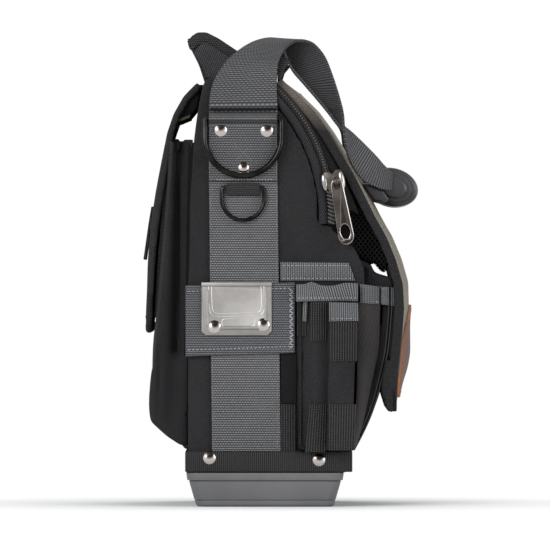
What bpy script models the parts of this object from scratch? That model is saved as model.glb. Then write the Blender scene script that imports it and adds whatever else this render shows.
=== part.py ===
"""Tool pouch: an upright nylon tool bag on a moulded base, with a crowned front cover that hangs from
the top edge, a flap over the rear bellows pocket, tool pockets on the front and on both sides, and a
webbing handle with a moulded grip. X runs from the back of the bag to its front, Y across it, Z up,
and the origin is the centre of the base's underside. The near side is at -Y and the far side at +Y."""

import math

import bmesh
import bpy
from mathutils import Matrix, Vector

# Driving sizes, in metres
BAG_DEPTH = 0.120
BAG_HEIGHT = 0.316
BAG_WIDTH = 0.220
GAP = 0.0003
OVERRUN = 0.010

# Laminated nylon panels
SIDE_WALL = 0.004
BACK_WALL = 0.004
TOP_WALL = 0.003
FRONT_WALL = 0.003
FLOOR_BOARD = 0.003
DIVIDER_WALL = 0.003
POCKET_WALL = 0.002

# Moulded base tray and the webbing round the foot of the bag
TRAY_HEIGHT = 0.025
TRAY_HALF_LENGTH = 0.058
TRAY_PROUD = 0.003
TRAY_CORNER = 0.009
TRAY_TAPER = 0.0075
TRAY_RIM_HEIGHT = 0.0054
TRAY_RIM_STEP = 0.0019
TRAY_FOOT_HEIGHT = 0.0044
TRAY_FOOT_CHAMFER = 0.0015
TRAY_GROOVE = 0.0008
BASE_BAND_HEIGHT = 0.0151
BASE_BAND_THICKNESS = 0.0018
BASE_BAND_LIFT = 0.0007

# Zip round each side's front edge
ZIP_RADIUS = 0.129
ZIP_CHAIN_WIDTH = 0.0048
PIPING_WIDTH = 0.0066
SLIDER_LENGTH = 0.017
SLIDER_WIDTH = 0.0136
SLIDER_THICKNESS = 0.005
SLIDER_OFFSET = 0.004
CROWN_WIDTH = 0.0026
CROWN_INNER = 0.0018
CROWN_OUTER = 0.0034
PULL_LENGTH = 0.041
PULL_TOP_WIDTH = 0.0088
PULL_END_WIDTH = 0.0116
PULL_THICKNESS = 0.0018
PULL_CROSSBAR = 0.0024
PULL_SLOT_WIDTH = 0.0036
PULL_SLOT_END = 0.0042
PULL_HOLE_HALF_WIDTH = 0.0037
PULL_HOLE_HALF_LENGTH = 0.0048
PULL_HOLE_EDGE = 0.0034

# Crowned front cover, its binding, net and leather patch
COVER_SIDE_CLEARANCE = 0.0017
COVER_THICKNESS = 0.0060
COVER_CROWN = 0.0040
COVER_CORNER = 0.024
COVER_BINDING_WIDTH = 0.0040
COVER_BINDING_PROUD = 0.0005
NET_INSET = 0.016
PATCH_INSET = 0.014
PATCH_THICKNESS = 0.0024

# Rear bellows pocket and its flap
REAR_POCKET_INSET = 0.018
REAR_POCKET_WALL = 0.0025
FLAP_INSET = 0.020
FLAP_THICKNESS = 0.0055
FLAP_CORNER = 0.018
FLAP_LOOP_HALF_WIDTH = 0.026
FLAP_LOOP_THICKNESS = 0.0022
FLAP_TAB_HALF_WIDTH = 0.022
FLAP_TAB_THICKNESS = 0.0016

# Front pockets, one tier before the other
FRONT_INNER_INSET = 0.012
FRONT_OUTER_INSET = 0.015
FRONT_TAPE_HEIGHT = 0.0125
FRONT_TAPE_THICKNESS = 0.0008

# Side pockets
SIDE_POCKET_DEPTH = 0.009
SIDE_SLEEVE_DEPTH = 0.008
SIDE_TAPE_THICKNESS = 0.0012

# Collar round the back of the top
COLLAR_INSET = 0.032
COLLAR_WALL = 0.003
COLLAR_BINDING = 0.0062
COLLAR_BINDING_PROUD = 0.0008

# Two-inch webbing, D-rings and the clip on the near side
WEBBING_WIDTH = 0.0504
WEBBING_THICKNESS = 0.002
WEBBING_SLANT = 0.0025
CLIP_BAND_LEFT = 0.0584
CLIP_BAND_RIGHT = 0.0219
CLIP_BAND_HEIGHT = 0.0520
CLIP_BAND_TILT = 0.0025
CLIP_PLATE_WIDTH = 0.0517
CLIP_PLATE_HEIGHT = 0.0390
CLIP_PLATE_THICKNESS = 0.0015
CLIP_PLATE_CORNER = 0.0030
CLIP_LIP = 0.0028
CLIP_RIB_WIDTH = 0.0022
CLIP_RIB_PROUD = 0.0008
BIG_RING_WIRE = 0.0044
BIG_RING_HALF_WIDTH = 0.0281
BIG_RING_DROP = 0.0425
BIG_RING_TILT = math.radians(3)
BIG_FOLD_HOLE = 0.0026
BIG_FOLD_LAYER = 0.0012
PATCH_TAIL_THICKNESS = 0.0020
RING_PATCH_WIDTH = 0.0500
RING_PATCH_DROP = 0.0465
SMALL_RING_WIRE = 0.0030
SMALL_RING_HALF_WIDTH = 0.0156
SMALL_RING_DROP = 0.0242
SMALL_FOLD_HOLE = 0.0018
SMALL_FOLD_LAYER = 0.0012
SMALL_LOOP_WIDTH = 0.0242
SMALL_LOOP_DROP = 0.0062
RING_CORNER = 0.0030
RING_SPACING = 0.0084

# Handle
GRIP_END_CLEARANCE = 0.0010
GRIP_CLEARANCE = 0.0007
GRIP_BOOT_LENGTH = 0.0090
GRIP_HALF_DEPTH = 0.0192
GRIP_HALF_HEIGHT = 0.0142
GRIP_TILT = math.radians(-16)
GRIP_BOW = 0.0030
GRIP_RIB = 0.0010

# Places and outlines in the side view, as shares of the bag's depth and height
BACK_SHARES = [(-0.472, 0.080), (-0.472, 0.481), (-0.459, 0.714), (-0.435, 0.854), (-0.410, 0.928)]
BACK_TOP_SHARE = -0.376
TOP_REAR_CORNER_SHARES = (-0.340, 1.000)
FRONT_EDGE_SHARES = [
    (0.406, 0.645), (0.466, 0.630), (0.527, 0.609), (0.564, 0.595), (0.582, 0.579), (0.606, 0.558),
    (0.618, 0.535), (0.624, 0.509),
]
FRONT_FOOT_SHARES = [(0.582, 0.445), (0.551, 0.295), (0.518, 0.132), (0.518, 0.080)]
ZIP_CENTRE_SHARES = (-0.6675, 0.679)
COVER_HINGE_SHARES = (0.0735, 1.000)
COVER_SHARES = [
    (0.078, 0.9895), (0.132, 0.969), (0.184, 0.950), (0.237, 0.930), (0.285, 0.910), (0.352, 0.877),
    (0.404, 0.842), (0.478, 0.799), (0.548, 0.750), (0.616, 0.695), (0.680, 0.652), (0.726, 0.621),
    (0.767, 0.585), (0.796, 0.550), (0.818, 0.516), (0.823, 0.470), (0.808, 0.386), (0.792, 0.335),
    (0.780, 0.284), (0.776, 0.221),
]
NET_SHARES = [
    (0.500, 0.742), (0.466, 0.712), (0.468, 0.660), (0.515, 0.610), (0.582, 0.575), (0.650, 0.565), (0.677, 0.571),
    (0.737, 0.545),
]
NET_STATIONS = range(9, 4, -1)
PATCH_FROM_SHARE = 0.585
PATCH_TO_SHARE = 0.965
PATCH_WIDTH_SHARES = [0.20, 0.62, 0.84, 0.95, 1.00, 1.00, 0.92, 0.70]
FLAP_HINGE_SHARES = (-0.3800, 0.992)
FLAP_SHARES = [
    (-0.401, 0.983), (-0.429, 0.977), (-0.472, 0.958), (-0.508, 0.937), (-0.539, 0.916), (-0.567, 0.891),
    (-0.585, 0.863), (-0.598, 0.835), (-0.609, 0.807), (-0.624, 0.779), (-0.640, 0.747), (-0.658, 0.705),
    (-0.677, 0.656), (-0.692, 0.602), (-0.701, 0.551), (-0.709, 0.481), (-0.712, 0.405),
]
FLAP_LOOP_SHARES = [(-0.6865, 0.700), (-0.704, 0.660), (-0.722, 0.612), (-0.736, 0.575)]
REAR_POCKET_SHARES = [
    (-0.557, 0.858), (-0.567, 0.830), (-0.576, 0.807), (-0.585, 0.772), (-0.597, 0.737), (-0.606, 0.679),
    (-0.613, 0.621), (-0.625, 0.563), (-0.643, 0.481), (-0.661, 0.412), (-0.683, 0.354), (-0.698, 0.314),
    (-0.714, 0.261), (-0.714, 0.226), (-0.701, 0.198), (-0.606, 0.165), (-0.515, 0.142),
]
TAB_STATIONS = slice(4, 8)
FRONT_INNER_SHARES = [
    (0.704, 0.514), (0.704, 0.472), (0.686, 0.388), (0.643, 0.330), (0.594, 0.249), (0.564, 0.179), (0.552, 0.142),
]
FRONT_OUTER_SHARES = [
    (0.778, 0.512), (0.781, 0.472), (0.756, 0.365), (0.704, 0.277), (0.674, 0.240), (0.637, 0.202),
    (0.594, 0.172), (0.578, 0.158),
]
COLLAR_TOP_SHARES = [
    (-0.472, 1.077), (-0.456, 1.094), (-0.416, 1.105), (-0.361, 1.105), (-0.288, 1.091), (-0.178, 1.063),
    (-0.055, 1.042), (0.043, 1.033),
]
COLLAR_REAR_SHARES = [(-0.367, 1.001), (-0.392, 1.026), (-0.435, 1.056), (-0.444, 1.063)]
DIVIDER_SHARES = [(0.031, 0.092), (-0.018, 0.726)]
SIDE_POCKET_SHARES = [(0.190, 0.521), (0.567, 0.521), (0.567, 0.474), (0.545, 0.295), (0.530, 0.132), (0.190, 0.132)]
SIDE_SLEEVE_SHARES = [(0.389, 0.476), (0.563, 0.476), (0.545, 0.295), (0.530, 0.132), (0.380, 0.132)]
SIDE_TRIM_SHARES = [(0.095, 0.526), (0.554, 0.526), (0.515, 0.568), (0.095, 0.570)]
SIDE_TAPE_HEIGHT_SHARE = 0.0425
WEBBING_CENTRE_SHARE = -0.135
HANDLE_PIVOT_SHARES = (-0.135, 0.905)
CLIP_BAND_TOP_SHARE = 0.523
CLIP_PLATE_SHARES = (-0.174, 0.5225)
HANDLE_FOLD_SHARES = (0.141, 1.0905)
GRIP_STATION_SHARE = 0.402

# The handle's webbing, edge by edge from the anchor to the grip: depth, height, and how far out of the
# anchor's plane, as shares of the bag's depth, height and half width
LOWER_STRAP_SHARES = [
    ((-0.343, 0.919, 0.002), (0.077, 0.919, 0.002)),
    ((-0.337, 0.958, 0.003), (0.073, 0.963, 0.004)),
    ((-0.312, 0.993, 0.006), (0.073, 0.998, 0.034)),
    ((-0.263, 1.023, 0.005), (0.080, 1.030, 0.052)),
    ((-0.202, 1.049, -0.057), (0.098, 1.047, 0.061)),
    ((-0.122, 1.072, -0.103), (0.122, 1.063, 0.061)),
    ((-0.043, 1.086, -0.139), (0.153, 1.075, 0.056)),
    ((0.043, 1.091, -0.175), (0.196, 1.084, 0.034)),
]
UPPER_STRAP_SHARES = [
    ((0.0475, 1.0905, -0.177), (0.2005, 1.0843, 0.0315)),
    ((0.072, 1.090, -0.190), (0.222, 1.086, 0.022)),
    ((0.110, 1.082, -0.203), (0.251, 1.084, 0.006)),
    ((0.135, 1.056, -0.221), (0.306, 1.075, -0.030)),
    ((0.171, 1.026, -0.239), (0.367, 1.047, -0.057)),
    ((0.239, 0.996, -0.248), (0.410, 1.007, -0.075)),
    ((0.319, 0.961, -0.266), (0.453, 0.956, -0.094)),
    ((0.392, 0.928, -0.285), (0.478, 0.916, -0.103)),
    ((0.465, 0.893, -0.285), (0.484, 0.879, -0.103)),
    ((0.533, 0.872, -0.266), (0.496, 0.837, -0.130)),
    ((0.606, 0.847, -0.266), (0.527, 0.800, -0.185)),
    ((0.680, 0.819, -0.303), (0.600, 0.761, -0.248)),
    ((0.735, 0.795, -0.357), (0.704, 0.742, -0.321)),
    ((0.784, 0.779, -0.425), (0.778, 0.737, -0.416)),
]

# Angles and counts
ZIP_TOP = math.radians(50)
ZIP_FOOT = math.radians(-3)
SLIDER_REST = math.radians(10.5)
PULL_LEAN = math.radians(4)
ARC_STEP = math.radians(5)
RING_SEGMENTS = 10
CORNER_STEPS = 6
ACROSS_SHARES = (-1.0, -0.72, -0.38, 0.0, 0.38, 0.72, 1.0)

SIDES = (("near", -1), ("far", 1))


def side_view(shares):
    """A place in the side view from its shares of the bag's depth and height."""
    return Vector((shares[0] * BAG_DEPTH, shares[1] * BAG_HEIGHT))


def path_of(shares):
    return [side_view(share) for share in shares]


HALF_WIDTH = BAG_WIDTH / 2
INSIDE_HALF_WIDTH = HALF_WIDTH - SIDE_WALL - GAP
FIRST_LAYER = HALF_WIDTH + GAP
SECOND_LAYER = FIRST_LAYER + WEBBING_THICKNESS + GAP
FOOT_Z = TRAY_HEIGHT + GAP
BAND_TOP_Z = TRAY_HEIGHT + BASE_BAND_LIFT + BASE_BAND_HEIGHT
ZIP_CENTRE = side_view(ZIP_CENTRE_SHARES)
SEAM_RADIUS = ZIP_RADIUS - ZIP_CHAIN_WIDTH / 2 - GAP - PIPING_WIDTH - GAP
CHAIN_OUTER_RADIUS = ZIP_RADIUS + ZIP_CHAIN_WIDTH / 2
COVER_HALF_WIDTH = INSIDE_HALF_WIDTH - COVER_SIDE_CLEARANCE
NET_HALF_WIDTH = COVER_HALF_WIDTH - NET_INSET
PATCH_HALF_WIDTH = COVER_HALF_WIDTH - PATCH_INSET
REAR_POCKET_HALF_WIDTH = HALF_WIDTH - REAR_POCKET_INSET
FLAP_HALF_WIDTH = HALF_WIDTH - FLAP_INSET
FRONT_INNER_HALF_WIDTH = HALF_WIDTH - FRONT_INNER_INSET
FRONT_OUTER_HALF_WIDTH = HALF_WIDTH - FRONT_OUTER_INSET
COLLAR_HALF_WIDTH = HALF_WIDTH - COLLAR_INSET
COVER_HINGE = side_view(COVER_HINGE_SHARES)
FLAP_HINGE = side_view(FLAP_HINGE_SHARES)
HANDLE_PIVOT = side_view(HANDLE_PIVOT_SHARES)
HANDLE_FOLD = side_view(HANDLE_FOLD_SHARES)
STRAP_PLANE = FIRST_LAYER + WEBBING_THICKNESS / 2
GRIP_HALF_LENGTH = STRAP_PLANE + UPPER_STRAP_SHARES[-1][0][2] * HALF_WIDTH - GRIP_END_CLEARANCE


def material(name, colour, roughness, metallic=0.0):
    made = bpy.data.materials.new(name)
    made.use_nodes = True
    shader = made.node_tree.nodes["Principled BSDF"]
    shader.inputs["Base Color"].default_value = (*colour, 1.0)
    shader.inputs["Roughness"].default_value = roughness
    shader.inputs["Metallic"].default_value = metallic
    made.diffuse_color = (*colour, 1.0)
    return made


def make_object(name, mesh_data, finish, origin=(0, 0, 0), smooth=None):
    """An object from a bmesh in world coordinates, with its origin put where its joint's axis runs."""
    bmesh.ops.recalc_face_normals(mesh_data, faces=mesh_data.faces)
    bmesh.ops.translate(mesh_data, verts=mesh_data.verts, vec=-Vector(origin))
    mesh = bpy.data.meshes.new(name)
    mesh_data.to_mesh(mesh)
    mesh_data.free()
    if smooth is not None:
        mesh.shade_smooth()
        mesh.set_sharp_from_angle(angle=smooth)
    mesh.materials.append(finish)
    made = bpy.data.objects.new(name, mesh)
    made.location = origin
    bpy.context.scene.collection.objects.link(made)
    return made


def prism(points, low, high, plane="xz"):
    """A polygon extruded square to its plane, between two heights along the third axis."""
    build = bmesh.new()
    place = {
        "xz": lambda a, b: (a, low, b),
        "yz": lambda a, b: (low, a, b),
        "xy": lambda a, b: (a, b, low),
    }[plane]
    along = {"xz": Vector((0, 1, 0)), "yz": Vector((1, 0, 0)), "xy": Vector((0, 0, 1))}[plane]
    face = build.faces.new([build.verts.new(place(a, b)) for a, b in points])
    grown = bmesh.ops.extrude_face_region(build, geom=[face])
    moved = [item for item in grown["geom"] if isinstance(item, bmesh.types.BMVert)]
    bmesh.ops.translate(build, verts=moved, vec=along * (high - low))
    return build


def loft(rings):
    """A closed skin over rings of points, with both ends capped."""
    build = bmesh.new()
    loops = [[build.verts.new(point) for point in ring] for ring in rings]
    count = len(loops[0])
    for first, second in zip(loops, loops[1:]):
        for i in range(count):
            j = (i + 1) % count
            build.faces.new((first[i], first[j], second[j], second[i]))
    build.faces.new(loops[0])
    build.faces.new(loops[-1])
    return build


def normals_of(path):
    """The left-hand normal at each point of a path, scaled so that an offset keeps its distance."""
    edges = [(b - a).normalized() for a, b in zip(path, path[1:])]
    edges = [edges[0]] + edges + [edges[-1]]
    found = []
    for before, after in zip(edges, edges[1:]):
        mean = (before + after).normalized()
        normal = Vector((-mean.y, mean.x))
        found.append(normal / max(mean.dot(after), 0.5))
    return found


def offset_path(path, distance):
    return [point + normal * distance for point, normal in zip(path, normals_of(path))]


def band(path, first, second):
    """The outline between two offsets of a path."""
    return offset_path(path, first) + offset_path(path, second)[::-1]


def arc(centre, radius, start, end):
    steps = max(2, round(abs(end - start) / ARC_STEP))
    angles = [start + (end - start) * i / steps for i in range(steps + 1)]
    return [centre + Vector((math.cos(angle), math.sin(angle))) * radius for angle in angles]


def resample(path, distances):
    """Points at given distances along a path."""
    found = []
    for wanted in distances:
        walked = 0.0
        for a, b in zip(path, path[1:]):
            step = (b - a).length
            if walked + step >= wanted or b == path[-1]:
                found.append(a + (b - a) * ((wanted - walked) / step))
                break
            walked += step
    return found


def length_of(path):
    return sum((b - a).length for a, b in zip(path, path[1:]))


def boolean(target, cutter, operation):
    """A Boolean modifier on the target, with the cutter kept out of the render."""
    modifier = target.modifiers.new(cutter.name, "BOOLEAN")
    modifier.operation = operation
    modifier.object = cutter
    modifier.solver = "EXACT"
    cutter.hide_render = True
    cutter.display_type = "WIRE"


def helper(name, build, origin=(0, 0, 0)):
    return make_object(name, build, NYLON, origin)


def layer(inner, thickness, sign):
    """The lower and upper Y of a layer on one side of the bag."""
    return sorted((sign * inner, sign * (inner + thickness)))


def rounded_rectangle(half_x, half_y, corner, segments=4):
    points = []
    for sign_x, sign_y, start in ((1, 1, 0), (-1, 1, 90), (-1, -1, 180), (1, -1, 270)):
        for i in range(segments + 1):
            angle = math.radians(start + 90 * i / segments)
            points.append((
                sign_x * (half_x - corner) + corner * math.cos(angle),
                sign_y * (half_y - corner) + corner * math.sin(angle),
            ))
    return points


def make_base_tray():
    """The moulded tray: a chamfered foot, a groove, tapered walls and a stepped rim."""
    top_half_width = HALF_WIDTH + TRAY_PROUD
    rim_z = TRAY_HEIGHT - TRAY_RIM_HEIGHT
    wall = TRAY_HALF_LENGTH - TRAY_RIM_STEP
    foot = TRAY_HALF_LENGTH - TRAY_TAPER
    below_rim = rim_z - TRAY_GROOVE

    def taper(z):
        return foot + (wall - foot) * z / rim_z

    sections = [
        (0.0, foot - TRAY_FOOT_CHAMFER),
        (TRAY_FOOT_CHAMFER, taper(TRAY_FOOT_CHAMFER)),
        (TRAY_FOOT_HEIGHT, taper(TRAY_FOOT_HEIGHT)),
        (TRAY_FOOT_HEIGHT, taper(TRAY_FOOT_HEIGHT) - TRAY_GROOVE),
        (TRAY_FOOT_HEIGHT + TRAY_GROOVE, taper(TRAY_FOOT_HEIGHT) - TRAY_GROOVE),
        (TRAY_FOOT_HEIGHT + TRAY_GROOVE, taper(TRAY_FOOT_HEIGHT + TRAY_GROOVE)),
        (below_rim, taper(below_rim)),
        (below_rim, taper(below_rim) - TRAY_GROOVE),
        (rim_z, taper(below_rim) - TRAY_GROOVE),
        (rim_z, TRAY_HALF_LENGTH - TRAY_GROOVE),
        (TRAY_HEIGHT, TRAY_HALF_LENGTH),
    ]
    rings = []
    for z, half_length in sections:
        inset = TRAY_HALF_LENGTH - half_length
        outline = rounded_rectangle(half_length, top_half_width - inset, TRAY_CORNER)
        rings.append([(x, y, z) for x, y in outline])
    make_object("base_tray", loft(rings), TRAY_PLASTIC)


def make_base_band():
    """Ribbed webbing sewn round the foot of the bag, just above the tray."""
    back = BACK_SHARES[0][0] * BAG_DEPTH - GAP
    front = FRONT_FOOT_SHARES[-1][0] * BAG_DEPTH + GAP
    centre = (back + front) / 2
    half_length = (front - back) / 2
    low = TRAY_HEIGHT + BASE_BAND_LIFT
    outer = [
        (centre + x, y)
        for x, y in rounded_rectangle(
            half_length + BASE_BAND_THICKNESS,
            HALF_WIDTH + GAP + BASE_BAND_THICKNESS,
            BASE_BAND_THICKNESS,
            2,
        )
    ]
    inner = [
        (back, -HALF_WIDTH - GAP), (front, -HALF_WIDTH - GAP),
        (front, HALF_WIDTH + GAP), (back, HALF_WIDTH + GAP),
    ]
    made = make_object("base_band", prism(outer, low, BAND_TOP_Z, "xy"), RIBBED_WEBBING)
    boolean(made, helper("base_band_hole", prism(inner, low - OVERRUN, BAND_TOP_Z + OVERRUN, "xy")), "DIFFERENCE")


def make_side_panels():
    """The twill sides. Their front edge is cut back to the zip's arc and then runs down to the foot."""
    end = ZIP_TOP + 2 * GAP / SEAM_RADIUS
    foot = ZIP_FOOT - 2 * GAP / SEAM_RADIUS
    seam = arc(ZIP_CENTRE, SEAM_RADIUS, end, foot)
    chain_foot = ZIP_CENTRE + Vector((math.cos(foot), math.sin(foot))) * (CHAIN_OUTER_RADIUS + GAP)
    top_front = Vector((ZIP_CENTRE.x + math.cos(end) * CHAIN_OUTER_RADIUS + GAP, BAG_HEIGHT))
    outline = path_of(BACK_SHARES)
    outline[0].y = FOOT_Z
    outline.append(Vector((BACK_TOP_SHARE * BAG_DEPTH, BAG_HEIGHT - TOP_WALL)))
    outline.append(side_view(TOP_REAR_CORNER_SHARES))
    outline.append(top_front)
    outline += seam
    outline.append(chain_foot)
    outline += path_of(FRONT_EDGE_SHARES + FRONT_FOOT_SHARES)
    outline[-1].y = FOOT_Z
    for side, sign in SIDES:
        low, high = layer(HALF_WIDTH - SIDE_WALL, SIDE_WALL, sign)
        make_object("side_panel_" + side, prism(outline, low, high), NYLON)


def make_inner_panels():
    """Back, top, lower front, floor board and the divider between the front bay and the rear bay."""
    back = path_of(BACK_SHARES)
    back[0].y = FOOT_Z
    back.append(Vector((BACK_TOP_SHARE * BAG_DEPTH, BAG_HEIGHT - TOP_WALL - GAP)))
    make_object("back_panel", prism(band(back, 0, -BACK_WALL), -INSIDE_HALF_WIDTH, INSIDE_HALF_WIDTH), NYLON)

    rear = BACK_TOP_SHARE * BAG_DEPTH
    front = COVER_HINGE.x - GAP
    top_low = BAG_HEIGHT - TOP_WALL
    top = [Vector((rear, top_low)), Vector((front, top_low)), Vector((front, BAG_HEIGHT)), side_view(TOP_REAR_CORNER_SHARES)]
    make_object("top_panel", prism(top, -INSIDE_HALF_WIDTH, INSIDE_HALF_WIDTH), NYLON)

    wall = path_of([FRONT_EDGE_SHARES[-1]] + FRONT_FOOT_SHARES)
    wall[-1].y = FOOT_Z
    make_object("front_panel", prism(band(wall, 0, -FRONT_WALL), -INSIDE_HALF_WIDTH, INSIDE_HALF_WIDTH), NYLON)

    floor_back = BACK_SHARES[0][0] * BAG_DEPTH + BACK_WALL + GAP
    floor_front = FRONT_FOOT_SHARES[-1][0] * BAG_DEPTH - FRONT_WALL - GAP
    floor = [
        (floor_back, FOOT_Z), (floor_front, FOOT_Z),
        (floor_front, FOOT_Z + FLOOR_BOARD), (floor_back, FOOT_Z + FLOOR_BOARD),
    ]
    make_object("floor_board", prism(floor, -INSIDE_HALF_WIDTH, INSIDE_HALF_WIDTH), BOARD)

    divider = path_of(DIVIDER_SHARES)
    divider[0].y = FOOT_Z + FLOOR_BOARD + GAP
    half = DIVIDER_WALL / 2
    outline = [
        (divider[0].x - half, divider[0].y), (divider[0].x + half, divider[0].y),
        (divider[1].x + half, divider[1].y), (divider[1].x - half, divider[1].y),
    ]
    make_object("centre_divider", prism(outline, -INSIDE_HALF_WIDTH, INSIDE_HALF_WIDTH), NYLON)


def make_zips():
    """On each side: piping along the seam, the zip's chain, and the slider with its captured pull."""
    piping_low = SEAM_RADIUS + GAP
    chain_low = ZIP_RADIUS - ZIP_CHAIN_WIDTH / 2
    for side, sign in SIDES:
        low, high = layer(HALF_WIDTH - SIDE_WALL, SIDE_WALL, sign)
        for name, inner, outer, finish in (
            ("piping_", piping_low, piping_low + PIPING_WIDTH, NYLON),
            ("zip_chain_", chain_low, CHAIN_OUTER_RADIUS, ZIP_TEETH),
        ):
            outline = arc(ZIP_CENTRE, inner, ZIP_FOOT, ZIP_TOP) + arc(ZIP_CENTRE, outer, ZIP_TOP, ZIP_FOOT)
            make_object(name + side, prism(outline, low, high), finish)
        make_slider(side, sign)
        make_pull(side, sign)


def on_slider(u, v):
    """A place near the slider: u outwards along the arc's radius, v up along the chain."""
    out = Vector((math.cos(SLIDER_REST), math.sin(SLIDER_REST)))
    up = Vector((-out.y, out.x))
    return ZIP_CENTRE + out * (ZIP_RADIUS + SLIDER_OFFSET + u) + up * v


def along_pull(down, across):
    """A place on the hanging pull: down from its crossbar, and across it."""
    fall = Vector((math.sin(PULL_LEAN), -math.cos(PULL_LEAN)))
    return on_slider(SLIDER_WIDTH / 8, 0) + fall * down + Vector((-fall.y, fall.x)) * across


PULL_PIVOT_Y = FIRST_LAYER + SLIDER_THICKNESS + CROWN_INNER


def make_slider(side, sign):
    half_length = SLIDER_LENGTH / 2
    half_width = SLIDER_WIDTH / 2
    shoulder_share, waist_share, notch_share, neck_share = 0.92, 0.35, 0.68, 0.62
    half = [
        (0, half_length * notch_share),
        (half_width * (1 - neck_share), half_length),
        (half_width * shoulder_share, half_length),
        (half_width, half_length * waist_share),
        (half_width * neck_share, -half_length),
    ]
    outline = [on_slider(u, v) for u, v in half] + [on_slider(-u, v) for u, v in half[:0:-1]]
    low, high = layer(FIRST_LAYER, SLIDER_THICKNESS, sign)
    axis = (ZIP_CENTRE.x, 0, ZIP_CENTRE.y)
    made = make_object("zip_slider_" + side, prism(outline, low, high), DARK_STEEL, axis)

    # The crown: a half ring that stands on the slider and traps the pull's crossbar
    base = PULL_PIVOT_Y - CROWN_INNER - GAP
    profile = [(-CROWN_OUTER, base), *half_ring(CROWN_OUTER, True), (CROWN_OUTER, base)]
    profile += [(CROWN_INNER, base), *half_ring(CROWN_INNER, False), (-CROWN_INNER, base)]
    across = (-CROWN_WIDTH / 2, CROWN_WIDTH / 2)
    rings = []
    for offset in across:
        ring = []
        for down, y in profile:
            place = along_pull(down, offset)
            ring.append((place.x, sign * y, place.y))
        rings.append(ring)
    boolean(made, helper("zip_crown_" + side, loft(rings), axis), "UNION")


def half_ring(radius, forwards):
    count = 6
    angles = [math.pi * i / count for i in range(count + 1)]
    points = [(-radius * math.cos(angle), PULL_PIVOT_Y + radius * math.sin(angle)) for angle in angles]
    return points if forwards else points[::-1]


def pull_prism(points, sign, extra=0.0):
    half = PULL_THICKNESS / 2 + extra
    rings = []
    for y in (PULL_PIVOT_Y - half, PULL_PIVOT_Y + half):
        places = [along_pull(down, across) for down, across in points]
        rings.append([(place.x, sign * y, place.y) for place in places])
    return loft(rings)


def make_pull(side, sign):
    top = -PULL_CROSSBAR / 2
    end = PULL_LENGTH + top
    end_radius = PULL_END_WIDTH / 2
    corner_share = 0.72
    outline = [
        (top, -PULL_TOP_WIDTH / 2 * corner_share), (top, PULL_TOP_WIDTH / 2 * corner_share),
        (-top, PULL_TOP_WIDTH / 2),
    ]
    for i in range(9):
        angle = math.pi / 2 - math.pi * i / 8
        outline.append((end - end_radius + end_radius * math.cos(angle), end_radius * math.sin(angle)))
    outline.append((-top, -PULL_TOP_WIDTH / 2))
    pivot = along_pull(0, 0)
    origin = (pivot.x, sign * PULL_PIVOT_Y, pivot.y)
    made = make_object("zip_pull_" + side, pull_prism(outline, sign), DARK_STEEL, origin)

    slot = [
        (-top, -PULL_SLOT_WIDTH / 2), (-top, PULL_SLOT_WIDTH / 2),
        (PULL_SLOT_END, PULL_SLOT_WIDTH / 2), (PULL_SLOT_END, -PULL_SLOT_WIDTH / 2),
    ]
    boolean(made, helper("pull_slot_" + side, pull_prism(slot, sign, OVERRUN), origin), "DIFFERENCE")
    hole_centre = end - PULL_HOLE_EDGE - PULL_HOLE_HALF_LENGTH
    hole = []
    for i in range(12):
        angle = math.tau * i / 12
        hole.append((
            hole_centre + PULL_HOLE_HALF_LENGTH * math.cos(angle),
            PULL_HOLE_HALF_WIDTH * math.sin(angle),
        ))
    boolean(made, helper("pull_hole_" + side, pull_prism(hole, sign, OVERRUN), origin), "DIFFERENCE")


def corner_width(half_width, corner, from_end):
    """Half the width of a panel near an end with rounded corners."""
    if from_end >= corner:
        return half_width
    return half_width - corner + math.sqrt(max(corner ** 2 - (corner - from_end) ** 2, 0.0))


def stations_with_corners(straight, radius, count):
    """Distances along a path: even steps, then equal turns round the corners at its end."""
    even = [straight * i / count for i in range(count + 1)]
    turns = [math.pi / 2 * i / CORNER_STEPS for i in range(1, CORNER_STEPS + 1)]
    return even + [straight + radius * math.sin(turn) for turn in turns]


def crowned_ring(point, normal, half_width, reference, first, second, crown):
    """One cross-section of a panel that bulges across its width, as a closed ring of points."""
    edges = []
    for offset in (first, second):
        row = []
        for share in ACROSS_SHARES:
            y = share * half_width
            out = offset + crown * (1 - (y / reference) ** 2)
            row.append((point.x + normal.x * out, y, point.y + normal.y * out))
        edges.append(row)
    return edges[0] + edges[1][::-1]


def crowned_panel(path, distances, width_at, reference, first, second, crown_at):
    places = resample(path, distances)
    normals = normals_of(places)
    rings = []
    for place, normal, distance in zip(places, normals, distances):
        rings.append(crowned_ring(
            place, normal.normalized(), width_at(distance), reference, first, second, crown_at(distance)
        ))
    return loft(rings)


def cover_crown(distance, total):
    """The crown fades out over the last stretch above the cover's lower edge and starts soft at its root."""
    fade = min(1.0, (total - distance) / (2 * COVER_CORNER))
    start = min(1.0, (distance + COVER_THICKNESS) / COVER_CORNER)
    return COVER_CROWN * fade * start


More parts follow.
